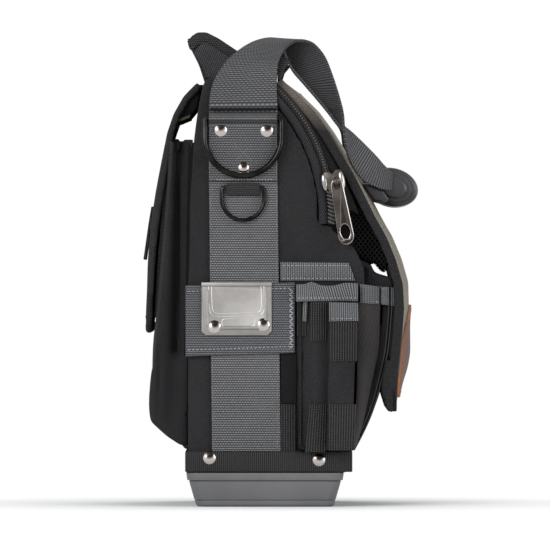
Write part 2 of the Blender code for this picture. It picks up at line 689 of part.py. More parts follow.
def make_cover():
    """The crowned cover, its bound edge, the net inside it and the leather patch on its front."""
    path = path_of(COVER_SHARES)
    total = length_of(path)
    half_thickness = COVER_THICKNESS / 2
    hinge = (COVER_HINGE.x, 0, COVER_HINGE.y)
    inset = COVER_BINDING_WIDTH + GAP
    panel_distances = stations_with_corners(total - COVER_CORNER, COVER_CORNER - inset, 14)

    def panel_width(distance):
        return corner_width(COVER_HALF_WIDTH - inset, COVER_CORNER - inset, total - inset - distance)

    def crown(distance):
        return cover_crown(distance, total)

    # The net's outline runs down its own inner face and back up along the inside of the cover
    net_crown = COVER_CROWN * (1 - (NET_HALF_WIDTH / COVER_HALF_WIDTH) ** 2)
    places = resample(path, panel_distances)
    normals = normals_of(places)
    inside = [places[i] + normals[i].normalized() * (net_crown - half_thickness - GAP) for i in NET_STATIONS]
    net = prism(path_of(NET_SHARES) + inside, -NET_HALF_WIDTH, NET_HALF_WIDTH)
    make_object("cover_net", net, NET, hinge)

    make_object(
        "front_cover",
        crowned_panel(path, panel_distances, panel_width, COVER_HALF_WIDTH, -half_thickness, half_thickness, crown),
        COVER_CLOTH, hinge,
    )
    make_cover_binding(path, total, hinge)

    start = total * PATCH_FROM_SHARE
    end = total * PATCH_TO_SHARE
    count = len(PATCH_WIDTH_SHARES) - 1
    patch_distances = [start + (end - start) * i / count for i in range(count + 1)]
    widths = dict(zip(patch_distances, PATCH_WIDTH_SHARES))
    low = half_thickness + COVER_BINDING_PROUD + GAP
    make_object(
        "cover_patch",
        crowned_panel(
            path, patch_distances, lambda distance: PATCH_HALF_WIDTH * widths[distance],
            COVER_HALF_WIDTH, low, low + PATCH_THICKNESS, crown,
        ),
        LEATHER, hinge,
    )


def make_cover_binding(path, total, hinge):
    """Ribbed tape round the cover's two sides and lower edge, a little proud of its cloth."""
    distances = stations_with_corners(total - COVER_CORNER, COVER_CORNER, 14)
    places = resample(path, distances)
    normals = [normal.normalized() for normal in normals_of(places)]
    route = []
    for place, normal, distance in zip(places, normals, distances):
        width = corner_width(COVER_HALF_WIDTH, COVER_CORNER, total - distance)
        crown = cover_crown(distance, total) * (1 - (width / COVER_HALF_WIDTH) ** 2)
        middle = place + normal * crown
        route.append((Vector((middle.x, -width, middle.y)), Vector((normal.x, 0, normal.y))))
    mirror = [(Vector((point.x, -point.y, point.z)), normal) for point, normal in route]
    route = route + mirror[::-1]
    half = COVER_THICKNESS / 2 + COVER_BINDING_PROUD
    rings = []
    for i, (point, normal) in enumerate(route):
        before = route[max(i - 1, 0)][0]
        after = route[min(i + 1, len(route) - 1)][0]
        inward = normal.cross(after - before).normalized()
        inner = point + inward * COVER_BINDING_WIDTH
        rings.append([point - normal * half, point + normal * half, inner + normal * half, inner - normal * half])
    make_object("cover_binding", loft(rings), RIBBED_WEBBING, hinge)


def make_rear_flap():
    """The flap over the rear pocket, with a webbing loop sewn on its back."""
    path = path_of(FLAP_SHARES)
    total = length_of(path)
    distances = stations_with_corners(total - FLAP_CORNER, FLAP_CORNER, 12)
    hinge = (FLAP_HINGE.x, 0, FLAP_HINGE.y)
    half = FLAP_THICKNESS / 2
    make_object(
        "rear_flap",
        crowned_panel(
            path, distances, lambda distance: corner_width(FLAP_HALF_WIDTH, FLAP_CORNER, total - distance),
            FLAP_HALF_WIDTH, -half, half, lambda distance: 0.0,
        ),
        NYLON, hinge,
    )
    loop = path_of(FLAP_LOOP_SHARES)
    outline = band(loop, 0, -FLAP_LOOP_THICKNESS)
    make_object("rear_flap_loop", prism(outline, -FLAP_LOOP_HALF_WIDTH, FLAP_LOOP_HALF_WIDTH), RIBBED_WEBBING, hinge)


def make_rear_pocket():
    """The bellows pocket on the back, open at the top, and the hook strip on its face."""
    path = path_of(REAR_POCKET_SHARES)
    back = offset_path(path_of(BACK_SHARES[:4]), GAP)
    back[0].y = path[-1].y
    top = Vector((back[-1].x, path[0].y))
    back = [point for point in back if point.y < top.y] + [top]
    made = make_object(
        "rear_pocket", prism(path + back, -REAR_POCKET_HALF_WIDTH, REAR_POCKET_HALF_WIDTH), NYLON
    )
    inner = offset_path(path[:-2], REAR_POCKET_WALL)
    inner[0].y += OVERRUN
    inner[-1].y += REAR_POCKET_WALL
    far_x = back[-1].x + OVERRUN
    cavity = inner + [Vector((far_x, inner[-1].y)), Vector((far_x, inner[0].y))]
    half = REAR_POCKET_HALF_WIDTH - REAR_POCKET_WALL
    boolean(made, helper("rear_pocket_hollow", prism(cavity, -half, half)), "DIFFERENCE")

    strip = band(path[TAB_STATIONS], -GAP, -GAP - FLAP_TAB_THICKNESS)
    make_object("rear_pocket_tab", prism(strip, -FLAP_TAB_HALF_WIDTH, FLAP_TAB_HALF_WIDTH), HOOK_TAPE)


def make_front_pockets():
    """Two tiers of pocket on the front panel, each open at the top, with a tape along its mouth."""
    panel = path_of([FRONT_EDGE_SHARES[-1]] + FRONT_FOOT_SHARES)
    inner_face = path_of(FRONT_INNER_SHARES)
    outer_face = path_of(FRONT_OUTER_SHARES)
    tape = FRONT_TAPE_THICKNESS + GAP
    tiers = (
        ("inner", inner_face, offset_path(panel, GAP), FRONT_INNER_HALF_WIDTH),
        ("outer", outer_face, offset_path(inner_face, tape + GAP), FRONT_OUTER_HALF_WIDTH),
    )
    for name, face, carrier, half_width in tiers:
        foot = face[-1]
        back = [point for point in carrier if foot.y < point.y < face[0].y]
        back_foot = place_at_height(carrier, foot.y)
        back_top = place_at_height(carrier, face[0].y)
        made = make_object(
            "front_pocket_" + name,
            prism(face + [back_foot] + back[::-1] + [back_top], -half_width, half_width), NYLON,
        )
        wall = offset_path(face[:-2], -POCKET_WALL)
        wall[0].y += OVERRUN
        far_x = back_foot.x - OVERRUN
        cavity = wall + [Vector((far_x, wall[-1].y)), Vector((far_x, wall[0].y))]
        half = half_width - POCKET_WALL
        boolean(made, helper("front_hollow_" + name, prism(cavity, -half, half)), "DIFFERENCE")
        mouth = [face[0], face[0] + (face[1] - face[0]).normalized() * FRONT_TAPE_HEIGHT]
        make_object(
            "front_pocket_tape_" + name,
            prism(band(mouth, GAP, tape), -half_width, half_width), GREY_TAPE,
        )


def place_at_height(path, height):
    """Where a path that runs down crosses a height, or its nearer end."""
    for a, b in zip(path, path[1:]):
        if a.y >= height >= b.y:
            return a + (b - a) * ((a.y - height) / (a.y - b.y))
    nearest = path[0] if height > path[0].y else path[-1]
    return Vector((nearest.x, height))


def make_side_pockets():
    """On each side a wide pocket, a narrow sleeve before it, and the grey tapes."""
    for side, sign in SIDES:
        depth = FIRST_LAYER
        for name, shares, thickness in (
            ("side_pocket_", SIDE_POCKET_SHARES, SIDE_POCKET_DEPTH),
            ("side_sleeve_", SIDE_SLEEVE_SHARES, SIDE_SLEEVE_DEPTH),
        ):
            outline = path_of(shares)
            low, high = layer(depth, thickness, sign)
            made = make_object(name + side, prism(outline, low, high), NYLON)
            cavity = [
                outline[0] + Vector((POCKET_WALL, OVERRUN)), outline[1] + Vector((-POCKET_WALL, OVERRUN)),
                *[point + Vector((-POCKET_WALL, 0)) for point in outline[2:-2]],
                outline[-2] + Vector((-POCKET_WALL, POCKET_WALL)), outline[-1] + Vector((POCKET_WALL, POCKET_WALL)),
            ]
            low, high = layer(depth - GAP, thickness + GAP - POCKET_WALL, sign)
            hollow = prism(cavity, low, high)
            boolean(made, helper(name + side + "_hollow", hollow), "DIFFERENCE")
            depth += thickness + GAP
            tape = mouth_tape(outline)
            low, high = layer(depth, SIDE_TAPE_THICKNESS, sign)
            make_object(name + "tape_" + side, prism(tape, low, high), GREY_TAPE)
        low, high = layer(FIRST_LAYER, SIDE_TAPE_THICKNESS, sign)
        make_object("side_trim_tape_" + side, prism(path_of(SIDE_TRIM_SHARES), low, high), GREY_TAPE)


def mouth_tape(outline):
    """The strip along a pocket's mouth, as high as the tape is wide."""
    drop = Vector((0, -SIDE_TAPE_HEIGHT_SHARE * BAG_HEIGHT))
    return [outline[0], outline[1], outline[1] + drop, outline[0] + drop]


def make_collar():
    """The bound collar that stands round the back of the top: two side wings and a rear wall."""
    top = path_of(COLLAR_TOP_SHARES)
    rear = path_of(COLLAR_REAR_SHARES)
    foot_z = BAG_HEIGHT + GAP
    rear[0].y = foot_z
    under = offset_path(top, -COLLAR_BINDING - GAP)
    tip_points = 3
    front = Vector((top[-1].x, foot_z))
    wing = rear + under[tip_points:] + [front]
    half = COLLAR_HALF_WIDTH
    made = make_object(
        "top_collar", prism(wing, -half, -half + COLLAR_WALL), NYLON
    )
    boolean(made, helper("collar_far_wing", prism(wing, half - COLLAR_WALL, half)), "UNION")
    wall = prism(band(rear, 0, -COLLAR_WALL), -half, half)
    boolean(made, helper("collar_rear_wall", wall), "UNION")

    strip = band(top, 0, -COLLAR_BINDING)
    proud = half + COLLAR_BINDING_PROUD
    inner = half - COLLAR_WALL - COLLAR_BINDING_PROUD
    bound = make_object("collar_binding", prism(strip, -proud, -inner), RIBBED_WEBBING)
    boolean(bound, helper("binding_far_strip", prism(strip, inner, proud)), "UNION")
    tip = band(top[:tip_points], 0, -COLLAR_BINDING)
    boolean(bound, helper("binding_rear_strip", prism(tip, -inner - COLLAR_WALL / 2, inner + COLLAR_WALL / 2)), "UNION")


def make_webbing():
    """The two-inch webbing sewn up each side, from the foot of the bag to the handle's anchor."""
    centre = WEBBING_CENTRE_SHARE * BAG_DEPTH
    half = WEBBING_WIDTH / 2
    top = HANDLE_PIVOT.y - half - GAP
    low_z = BAND_TOP_Z + GAP
    outline = [
        (centre - half, top), (centre - half + WEBBING_SLANT, low_z),
        (centre + half + WEBBING_SLANT, low_z), (centre + half, top),
    ]
    for side, sign in SIDES:
        low, high = layer(FIRST_LAYER, WEBBING_THICKNESS, sign)
        make_object("side_webbing_" + side, prism(outline, low, high), GREY_WEBBING)


def fold_outline(hole, strip, axis_z, tail_thickness, tail_drop, inner):
    """A folded webbing tab from the side: round its ring's bar, then doubled flat against the bag."""
    centre_y = inner + strip + hole
    outer = hole + strip
    points = [(inner, axis_z - tail_drop)]
    count = 12
    for i in range(count + 1):
        angle = math.pi - math.radians(225) * i / count
        points.append((centre_y + outer * math.cos(angle), axis_z + outer * math.sin(angle)))
    points.append((inner + tail_thickness, axis_z - outer * 1.6))
    points.append((inner + tail_thickness, axis_z - tail_drop))
    return points, centre_y


def make_fold(name, sign, centre_x, width, hole, strip, axis_z, tail_thickness, tail_drop, inner, finish):
    outline, centre_y = fold_outline(hole, strip, axis_z, tail_thickness, tail_drop, inner)
    outline = [(sign * y, z) for y, z in outline]
    made = make_object(name, prism(outline, centre_x - width / 2, centre_x + width / 2, "yz"), finish)
    bore = []
    for i in range(12):
        angle = math.tau * i / 12
        bore.append((sign * centre_y + hole * math.cos(angle), axis_z + hole * math.sin(angle)))
    cutter = prism(bore, centre_x - width / 2 - OVERRUN, centre_x + width / 2 + OVERRUN, "yz")
    boolean(made, helper(name + "_bore", cutter), "DIFFERENCE")
    return centre_y


def make_ring(name, wire, half_width, drop, tilt, centre):
    """A D-ring as a bent wire: a straight bar, two legs and a half-round bow, tilted out about its bar."""
    radius = half_width
    leg = drop - radius
    corner = RING_CORNER
    points = [(-half_width + corner, 0), (half_width - corner, 0)]
    for i in range(1, 3):
        angle = math.radians(90 - 45 * i)
        points.append((half_width - corner + corner * math.cos(angle), -corner + corner * math.sin(angle)))
    for i in range(RING_SEGMENTS + 1):
        angle = -math.pi * i / RING_SEGMENTS
        points.append((radius * math.cos(angle), -leg + radius * math.sin(angle)))
    for i in range(2):
        angle = math.radians(180 - 45 * i)
        points.append((-half_width + corner + corner * math.cos(angle), -corner + corner * math.sin(angle)))
    curve = bpy.data.curves.new(name, "CURVE")
    curve.dimensions = "3D"
    curve.bevel_depth = wire / 2
    curve.bevel_resolution = 2
    spline = curve.splines.new("POLY")
    spline.points.add(len(points) - 1)
    for target, (x, z) in zip(spline.points, points):
        target.co = (x, 0, z, 1)
    spline.use_cyclic_u = True
    curve.materials.append(DARK_STEEL)
    made = bpy.data.objects.new(name, curve)
    made.rotation_euler = (tilt, 0, 0)
    made.location = centre
    bpy.context.scene.collection.objects.link(made)


def make_rings():
    """On each side: the riveted anchor patch with the big D-ring, and a loop with the small one."""
    centre_x = WEBBING_CENTRE_SHARE * BAG_DEPTH
    for side, sign in SIDES:
        big_y = make_fold(
            "anchor_patch_" + side, sign, centre_x, RING_PATCH_WIDTH, BIG_FOLD_HOLE, BIG_FOLD_LAYER,
            HANDLE_PIVOT.y, PATCH_TAIL_THICKNESS, RING_PATCH_DROP, SECOND_LAYER, GREY_WEBBING,
        )
        make_ring(
            "big_ring_" + side, BIG_RING_WIRE, BIG_RING_HALF_WIDTH, BIG_RING_DROP,
            sign * BIG_RING_TILT, (centre_x, sign * big_y, HANDLE_PIVOT.y),
        )
        small_z = HANDLE_PIVOT.y - BIG_RING_DROP - RING_SPACING
        small_y = make_fold(
            "ring_loop_" + side, sign, centre_x, SMALL_LOOP_WIDTH, SMALL_FOLD_HOLE, SMALL_FOLD_LAYER,
            small_z, 2 * SMALL_FOLD_LAYER, SMALL_LOOP_DROP, SECOND_LAYER, RIBBED_WEBBING,
        )
        make_ring(
            "small_ring_" + side, SMALL_RING_WIRE, SMALL_RING_HALF_WIDTH, SMALL_RING_DROP,
            0.0, (centre_x, sign * small_y, small_z),
        )


def make_clip():
    """The steel clip for a tape measure, on its webbing band on the near side."""
    top = CLIP_BAND_TOP_SHARE * BAG_HEIGHT
    low, high = layer(SECOND_LAYER, WEBBING_THICKNESS, -1)
    outline = [
        (-CLIP_BAND_LEFT, top - CLIP_BAND_TILT), (-CLIP_BAND_LEFT, top - CLIP_BAND_HEIGHT - CLIP_BAND_TILT),
        (CLIP_BAND_RIGHT, top - CLIP_BAND_HEIGHT), (CLIP_BAND_RIGHT, top),
    ]
    make_object("clip_band", prism(outline, low, high), GREY_WEBBING)

    centre = side_view(CLIP_PLATE_SHARES)
    half = CLIP_PLATE_WIDTH / 2
    corner = CLIP_PLATE_CORNER
    floor = centre.y - CLIP_PLATE_HEIGHT
    plate = [
        (centre.x - half, centre.y), (centre.x - half, floor + corner), (centre.x - half + corner, floor),
        (centre.x + half - corner, floor), (centre.x + half, floor + corner), (centre.x + half, centre.y),
    ]
    inner = SECOND_LAYER + WEBBING_THICKNESS + GAP
    low, high = layer(inner, CLIP_PLATE_THICKNESS, -1)
    made = make_object("clip_plate", prism(plate, low, high), STEEL)
    lip = [
        (centre.x - half, centre.y), (centre.x - half, centre.y - CLIP_LIP),
        (centre.x + half, centre.y - CLIP_LIP), (centre.x + half, centre.y),
    ]
    low, high = layer(inner + CLIP_PLATE_THICKNESS / 2, CLIP_PLATE_THICKNESS, -1)
    boolean(made, helper("clip_lip", prism(lip, low, high)), "UNION")

    inset = CLIP_PLATE_CORNER * 1.5
    reach = CLIP_PLATE_HEIGHT * 0.86
    path = [
        Vector((centre.x - half + inset, centre.y - 2 * CLIP_LIP)),
        Vector((centre.x - half + inset, centre.y - reach + corner)),
        Vector((centre.x - half + inset + corner, centre.y - reach)),
        Vector((centre.x + half - inset - corner, centre.y - reach)),
        Vector((centre.x + half - inset, centre.y - reach + corner)),
        Vector((centre.x + half - inset, centre.y - 2 * CLIP_LIP)),
    ]
    low, high = layer(inner + CLIP_PLATE_THICKNESS / 2, CLIP_PLATE_THICKNESS / 2 + CLIP_RIB_PROUD, -1)
    rib = prism(band(path, -CLIP_RIB_WIDTH / 2, CLIP_RIB_WIDTH / 2), low, high)
    boolean(made, helper("clip_rib", rib), "UNION")


def strap_point(shares, sign):
    out = STRAP_PLANE + shares[2] * HALF_WIDTH
    return Vector((shares[0] * BAG_DEPTH, sign * out, shares[1] * BAG_HEIGHT))


def ribbon(edges):
    """Webbing swept between two edge lines, in triangles because its twisted faces aren't flat."""
    middles = [(a + b) / 2 for a, b in edges]
    rings = []
    for i, (a, b) in enumerate(edges):
        along = middles[min(i + 1, len(edges) - 1)] - middles[max(i - 1, 0)]
        normal = along.cross(b - a).normalized() * (WEBBING_THICKNESS / 2)
        rings.append([a - normal, b - normal, b + normal, a + normal])
    build = loft(rings)
    bmesh.ops.triangulate(build, faces=build.faces)
    return build


def make_handle():
    """The handle: a strap that turns at each anchor, folds over the top and ends in the moulded grip."""
    pivot = (HANDLE_PIVOT.x, 0, HANDLE_PIVOT.y)
    fold = (HANDLE_FOLD.x, 0, HANDLE_FOLD.y)
    for side, sign in SIDES:
        edges = [(strap_point(a, sign), strap_point(b, sign)) for a, b in LOWER_STRAP_SHARES]
        made = make_object("strap_lower_" + side, ribbon(edges), GREY_WEBBING, pivot)
        disc = arc(HANDLE_PIVOT, WEBBING_WIDTH / 2, math.radians(20), math.radians(-200))
        low, high = layer(FIRST_LAYER, WEBBING_THICKNESS, sign)
        boolean(made, helper("strap_foot_" + side, prism(disc, low, high), pivot), "UNION")
        edges = [(strap_point(a, sign), strap_point(b, sign)) for a, b in UPPER_STRAP_SHARES]
        make_object("strap_upper_" + side, ribbon(edges), GREY_WEBBING, fold)
    make_grip(fold)


def grip_centre():
    """The grip lies on the crown of the cover, so its centre follows the cover's surface there."""
    path = path_of(COVER_SHARES)
    station = length_of(path) * GRIP_STATION_SHARE
    below, place, above = resample(path, [station - OVERRUN / 2, station, station + OVERRUN / 2])
    along = (above - below).normalized()
    normal = Vector((-along.y, along.x))
    lean = math.atan2(normal.y, normal.x) - GRIP_TILT
    reach = math.hypot(GRIP_HALF_DEPTH * math.cos(lean), GRIP_HALF_HEIGHT * math.sin(lean))
    return place + normal * (COVER_THICKNESS / 2 + COVER_CROWN + reach + GRIP_CLEARANCE)


def make_grip(fold):
    """The grip moulded over the webbing: an oval bar, bowed a little, with a stepped boot at each end."""
    body = GRIP_HALF_LENGTH - GRIP_BOOT_LENGTH
    slot_share, small_share, middle_share = 0.42, 0.55, 0.76
    rib = GRIP_RIB
    steps = [
        (body * 0.35, 1.0), (body * 0.70, 1.0), (body - 2 * rib, 1.0), (body, 0.95),
        (body + rib, middle_share), (body + GRIP_BOOT_LENGTH / 2, middle_share * 0.95),
        (body + GRIP_BOOT_LENGTH / 2 + rib, small_share), (GRIP_HALF_LENGTH - rib, small_share * 0.92),
        (GRIP_HALF_LENGTH, slot_share),
    ]
    sections = [(-y, scale) for y, scale in steps[::-1]] + [(0.0, 1.0)] + steps
    centre = grip_centre()
    turn = Matrix.Rotation(GRIP_TILT, 2)
    rings = []
    for y, scale in sections:
        bow = GRIP_BOW * (0.5 - (y / GRIP_HALF_LENGTH) ** 2)
        ring = []
        for i in range(16):
            angle = math.tau * i / 16
            across = math.copysign(abs(math.cos(angle)) ** 0.85, math.cos(angle)) * GRIP_HALF_DEPTH
            height = math.copysign(abs(math.sin(angle)) ** 0.85, math.sin(angle)) * GRIP_HALF_HEIGHT
            place = centre + turn @ Vector((across, height)) * scale + Vector((bow, 0))
            ring.append((place.x, y, place.y))
        rings.append(ring)
    make_object("handle_grip", loft(rings), RUBBER, fold)


for old in list(bpy.data.objects):
    bpy.data.objects.remove(old, do_unlink=True)

NYLON = material("black_nylon", (0.036, 0.036, 0.038), 0.80)
RIBBED_WEBBING = material("ribbed_webbing", (0.030, 0.030, 0.032), 0.75)
GREY_WEBBING = material("grey_webbing", (0.16, 0.16, 0.165), 0.80)
GREY_TAPE = material("grey_tape", (0.15, 0.155, 0.16), 0.80)
COVER_CLOTH = material("taupe_cover_cloth", (0.24, 0.215, 0.17), 0.85)
LEATHER = material("brown_leather", (0.155, 0.090, 0.078), 0.60)
NET = material("black_net", (0.022, 0.022, 0.022), 0.85)
HOOK_TAPE = material("hook_tape", (0.040, 0.040, 0.042), 0.90)
BOARD = material("base_board", (0.05, 0.05, 0.05), 0.70)
TRAY_PLASTIC = material("grey_moulded_plastic", (0.145, 0.145, 0.148), 0.50)
RUBBER = material("black_rubber", (0.032, 0.032, 0.034), 0.45)
ZIP_TEETH = material("zip_teeth", (0.045, 0.045, 0.045), 0.40)
DARK_STEEL = material("dark_plated_steel", (0.20, 0.20, 0.20), 0.30, 1.0)
STEEL = material("brushed_steel", (0.62, 0.60, 0.58), 0.32, 1.0)

make_base_tray()
make_base_band()
make_side_panels()
make_inner_panels()
make_zips()
make_cover()
make_rear_pocket()
make_rear_flap()
make_front_pockets()
make_side_pockets()
make_collar()
make_webbing()
make_rings()
make_clip()
make_handle()
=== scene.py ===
import math

import bmesh
import bpy
from mathutils import Matrix, Vector, noise
from mathutils.bvhtree import BVHTree


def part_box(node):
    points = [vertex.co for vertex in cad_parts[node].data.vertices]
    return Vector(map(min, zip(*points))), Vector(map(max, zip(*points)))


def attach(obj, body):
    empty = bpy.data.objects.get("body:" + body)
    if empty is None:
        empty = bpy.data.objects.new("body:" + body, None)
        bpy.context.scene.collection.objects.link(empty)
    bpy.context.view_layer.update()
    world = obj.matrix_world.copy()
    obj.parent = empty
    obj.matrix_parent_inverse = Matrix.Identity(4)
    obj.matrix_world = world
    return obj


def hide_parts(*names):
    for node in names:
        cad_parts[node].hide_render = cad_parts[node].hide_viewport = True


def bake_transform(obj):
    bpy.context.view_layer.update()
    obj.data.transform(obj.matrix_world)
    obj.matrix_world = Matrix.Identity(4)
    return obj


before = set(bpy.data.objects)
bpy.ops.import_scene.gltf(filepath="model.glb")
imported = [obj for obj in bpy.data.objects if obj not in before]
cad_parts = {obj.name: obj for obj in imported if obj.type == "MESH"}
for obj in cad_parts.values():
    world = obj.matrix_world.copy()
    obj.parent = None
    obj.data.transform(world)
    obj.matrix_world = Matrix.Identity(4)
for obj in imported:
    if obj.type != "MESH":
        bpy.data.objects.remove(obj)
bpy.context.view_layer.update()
scene = bpy.context.scene
sides = (("near", -1), ("far", 1))

photo = {"metresPerPixel": 0.000735, "zeroX": 265, "groundY": 507, "centre": (275, 275), "pixels": 550}
# how far out from the middle the cloth lies, and how far threads stand off it
layers = {"first": 0.1103, "strapPlane": 0.1113, "lift": 0.0002}


def at(px, py):  # a pixel of the picture as x and z in metres
    return (px - photo["zeroX"]) * photo["metresPerPixel"], (photo["groundY"] - py) * photo["metresPerPixel"]


def onSide(pixels, depth=0.0, sign=1):  # pixels as places at a depth on one side
    return [Vector((x, sign * depth, z)) for x, z in (at(*pixel) for pixel in pixels)]


class Value:  # a socket in a sum: each operator adds its Math node
    def __init__(self, tree, socket):
        self.tree, self.socket = tree, socket

    def math(self, operation, *others):
        node = self.tree.nodes.new("ShaderNodeMath")
        node.operation = operation
        for target, value in zip(node.inputs, (self, *others)):
            if isinstance(value, Value):
                self.tree.links.new(value.socket, target)
            else:
                target.default_value = value
        return Value(self.tree, node.outputs[0])

    def __add__(self, other):
        return self.math("ADD", other)

    def __sub__(self, other):
        return self.math("SUBTRACT", other)

    def __mul__(self, other):
        return self.math("MULTIPLY", other)

    def __truediv__(self, other):
        return self.math("DIVIDE", other)

    def __rsub__(self, other):
        return self * -1 + other

    def __lt__(self, other):
        return self.math("LESS_THAN", other)

    __radd__ = __add__
    __rmul__ = __mul__

    def wave(self, pitch, shift=0.0):  # 0 to 1 and back in each pitch
        return (self * (math.tau / pitch) + shift).math("SINE") * 0.5 + 0.5

    def between(self, low, high):
        return ((self - low) / (high - low)).math("MAXIMUM", 0.0).math("MINIMUM", 1.0)


class Nodes:  # one node tree and the ways to add to it
    def __init__(self, owner):
        owner.use_nodes = True
        self.owner, self.tree = owner, owner.node_tree

    def join(self, value, target):  # a colour is three numbers, or one for a grey
        if isinstance(value, Value):
            self.tree.links.new(value.socket, target)
        elif target.type == "RGBA":
            target.default_value = (*value, 1.0) if isinstance(value, tuple) else (value, value, value, 1.0)
        else:
            target.default_value = value

    def add(self, kind, settings=None, inputs=None, output=0):
        node = self.tree.nodes.new(kind)
        for name, setting in (settings or {}).items():
            if name == "stops":
                for element, (place, level) in zip(node.color_ramp.elements, setting):
                    element.position, element.color = place, (level, level, level, 1.0)
            else:
                setattr(node, name, setting)
        for name, value in (inputs or {}).items():
            self.join(value, node.inputs[name])
        return Value(self.tree, node.outputs[output])

    def seen(self):  # 1 where the camera, a reflection or clear glass looks
        kinds = ("Is Camera Ray", "Is Glossy Ray", "Is Transmission Ray")
        rays = [self.add("ShaderNodeLightPath", output=kind) for kind in kinds]
        return rays[0] + rays[1] + rays[2]

    def finishWith(self, kind, shader):
        self.join(shader, self.tree.nodes.new(kind).inputs["Surface"])

    def mix(self, factor, first, second):  # colours
        return self.add("ShaderNodeMix", {"data_type": "RGBA"}, {0: factor, 6: first, 7: second}, 2)

    def coordinates(self, kind="UV"):
        place = self.add("ShaderNodeTexCoord", output=kind)
        split = place.tree.nodes.new("ShaderNodeSeparateXYZ")
        place.tree.links.new(place.socket, split.inputs[0])
        return place, [Value(place.tree, socket) for socket in split.outputs]

    def noise(self, place, scale, detail=3.0, roughness=0.55):
        return self.add("ShaderNodeTexNoise", inputs={
            "Vector": place, "Scale": scale, "Detail": detail, "Roughness": roughness})

    def bump(self, height, distance):
        return self.add("ShaderNodeBump", inputs={"Height": height, "Distance": distance, "Strength": 1.0})


class Finish(Nodes):  # a Principled material
    def __init__(self, name, roughness=0.8, metallic=0.0, specular=0.5):
        super().__init__(bpy.data.materials.new(name))
        self.shader = self.tree.nodes["Principled BSDF"]
        self.set("Roughness", roughness).set("Metallic", metallic).set("Specular IOR Level", specular)

    def set(self, socket, value):
        self.join(value, self.shader.inputs[socket])
        return self


# a woven height gets its colour, cloudy wear, loose fibres and relief
def aged(finish, height, dark, light, bumpDepth, patch=14.0, contrast=0.45):
    place, _ = finish.coordinates("Object")
    cloud = finish.noise(place, patch, 4.0).between(0.3, 0.7)
    fine = finish.noise(place, 900.0, 2.0).between(0.3, 0.7)
    share = height * (1 - contrast) + cloud * contrast * 0.6 + fine * contrast * 0.4
    finish.set("Base Color", finish.mix(share, dark, light))
    finish.set("Normal", finish.bump(height * 0.75 + fine * 0.25, bumpDepth))
    return finish.owner


# diagonal twill: fine slanting ribs, cloudy wear
def twill(name, dark, light, pitch=0.0015, slant=1.0, roughness=0.85, gloss=0.12):
    finish = Finish(name, roughness, specular=gloss)
    _, (u, v, _) = finish.coordinates()
    ribs = (u - v * slant).wave(pitch)
    yarns = (u + v).wave(pitch * 0.8)
    return aged(finish, ribs * 0.4 + ribs * yarns * 0.6, dark, light, 0.00050, contrast=0.28)


# a binding that fades from the cover's own cloth at the top to black below
def fadedBinding(name, black, cloth, low, high):
    finish = Finish(name, 0.85, specular=0.12)
    _, (u, v, _) = finish.coordinates()
    place, (_, _, z) = finish.coordinates("Object")
    fibres = finish.noise(place, 700.0).between(0.25, 0.75)
    ribs = v.wave(0.0013) * 0.4 + (u + v).wave(0.0015) * 0.2 + fibres * 0.4
    blackRibs, clothRibs = (finish.mix(ribs, *pair) for pair in (black, cloth))
    finish.set("Base Color", finish.mix(z.between(low, high), blackRibs, clothRibs))
    finish.set("Normal", finish.bump(ribs, 0.0003))
    return finish.owner


# webbing: rows of raised yarn across the strap, each row set half a yarn on
def webbing(name, dark, light, row=0.0017, yarn=0.0020, gloss=0.2):
    finish = Finish(name, 0.8, specular=gloss)
    _, (u, v, _) = finish.coordinates()
    step = (v / row).math("FLOOR").math("MODULO", 2.0)
    rows = v.wave(row)
    yarns = (u + step * (yarn / 2)).wave(yarn)
    return aged(finish, rows * 0.3 + rows * yarns * 0.7, dark, light, 0.0008, contrast=0.16)


# grosgrain tape: fine ribs across it, hairline wefts
def grosgrain(name, dark, light, pitch=0.0013, across=False, depth=0.0003, weft=0.25):
    finish = Finish(name, 0.8, specular=0.15)
    _, (u, v, _) = finish.coordinates()
    if across:
        u, v = v, u
    ribs = u.wave(pitch) * (u.wave(pitch) * 0.5 + 0.5)
    return aged(finish, ribs * (1 - weft) + v.wave(pitch * 0.9) * ribs * weft, dark, light, depth, contrast=0.15)


def plainWeave(name, dark, light, pitch=0.0014):
    finish = Finish(name, 0.85, specular=0.2)
    _, (u, v, _) = finish.coordinates()
    turn = (u.wave(pitch) - 0.5) * (v.wave(pitch) - 0.5) * 2 + 0.5
    return aged(finish, turn, dark, light, 0.0003, patch=22.0)


def netting(name, thread, pitch=0.0034, width=0.30):
    finish = Finish(name, 0.8, specular=0.15)
    _, (u, v, _) = finish.coordinates()
    first, second = (u + v * 0.8).wave(pitch), (u - v * 0.8).wave(pitch)
    solid = ((first < width) + (second < width)).math("MINIMUM", 1.0)
    finish.set("Base Color", thread).set("Alpha", solid)
    return finish.owner


def leather(name, dark, light):
    finish = Finish(name, 0.6, specular=0.08)
    place, _ = finish.coordinates("Object")
    grain = finish.add("ShaderNodeTexVoronoi", {"feature": "DISTANCE_TO_EDGE"}, {"Vector": place, "Scale": 620.0})
    cloud = finish.noise(place, 26.0, 5.0).between(0.3, 0.72)
    finish.set("Base Color", finish.mix(cloud, dark, light))
    finish.set("Roughness", cloud * 0.2 + 0.45)
    finish.set("Normal", finish.bump(grain.math("MINIMUM", 0.12) * 4 + cloud * 0.5, 0.00025))
    return finish.owner


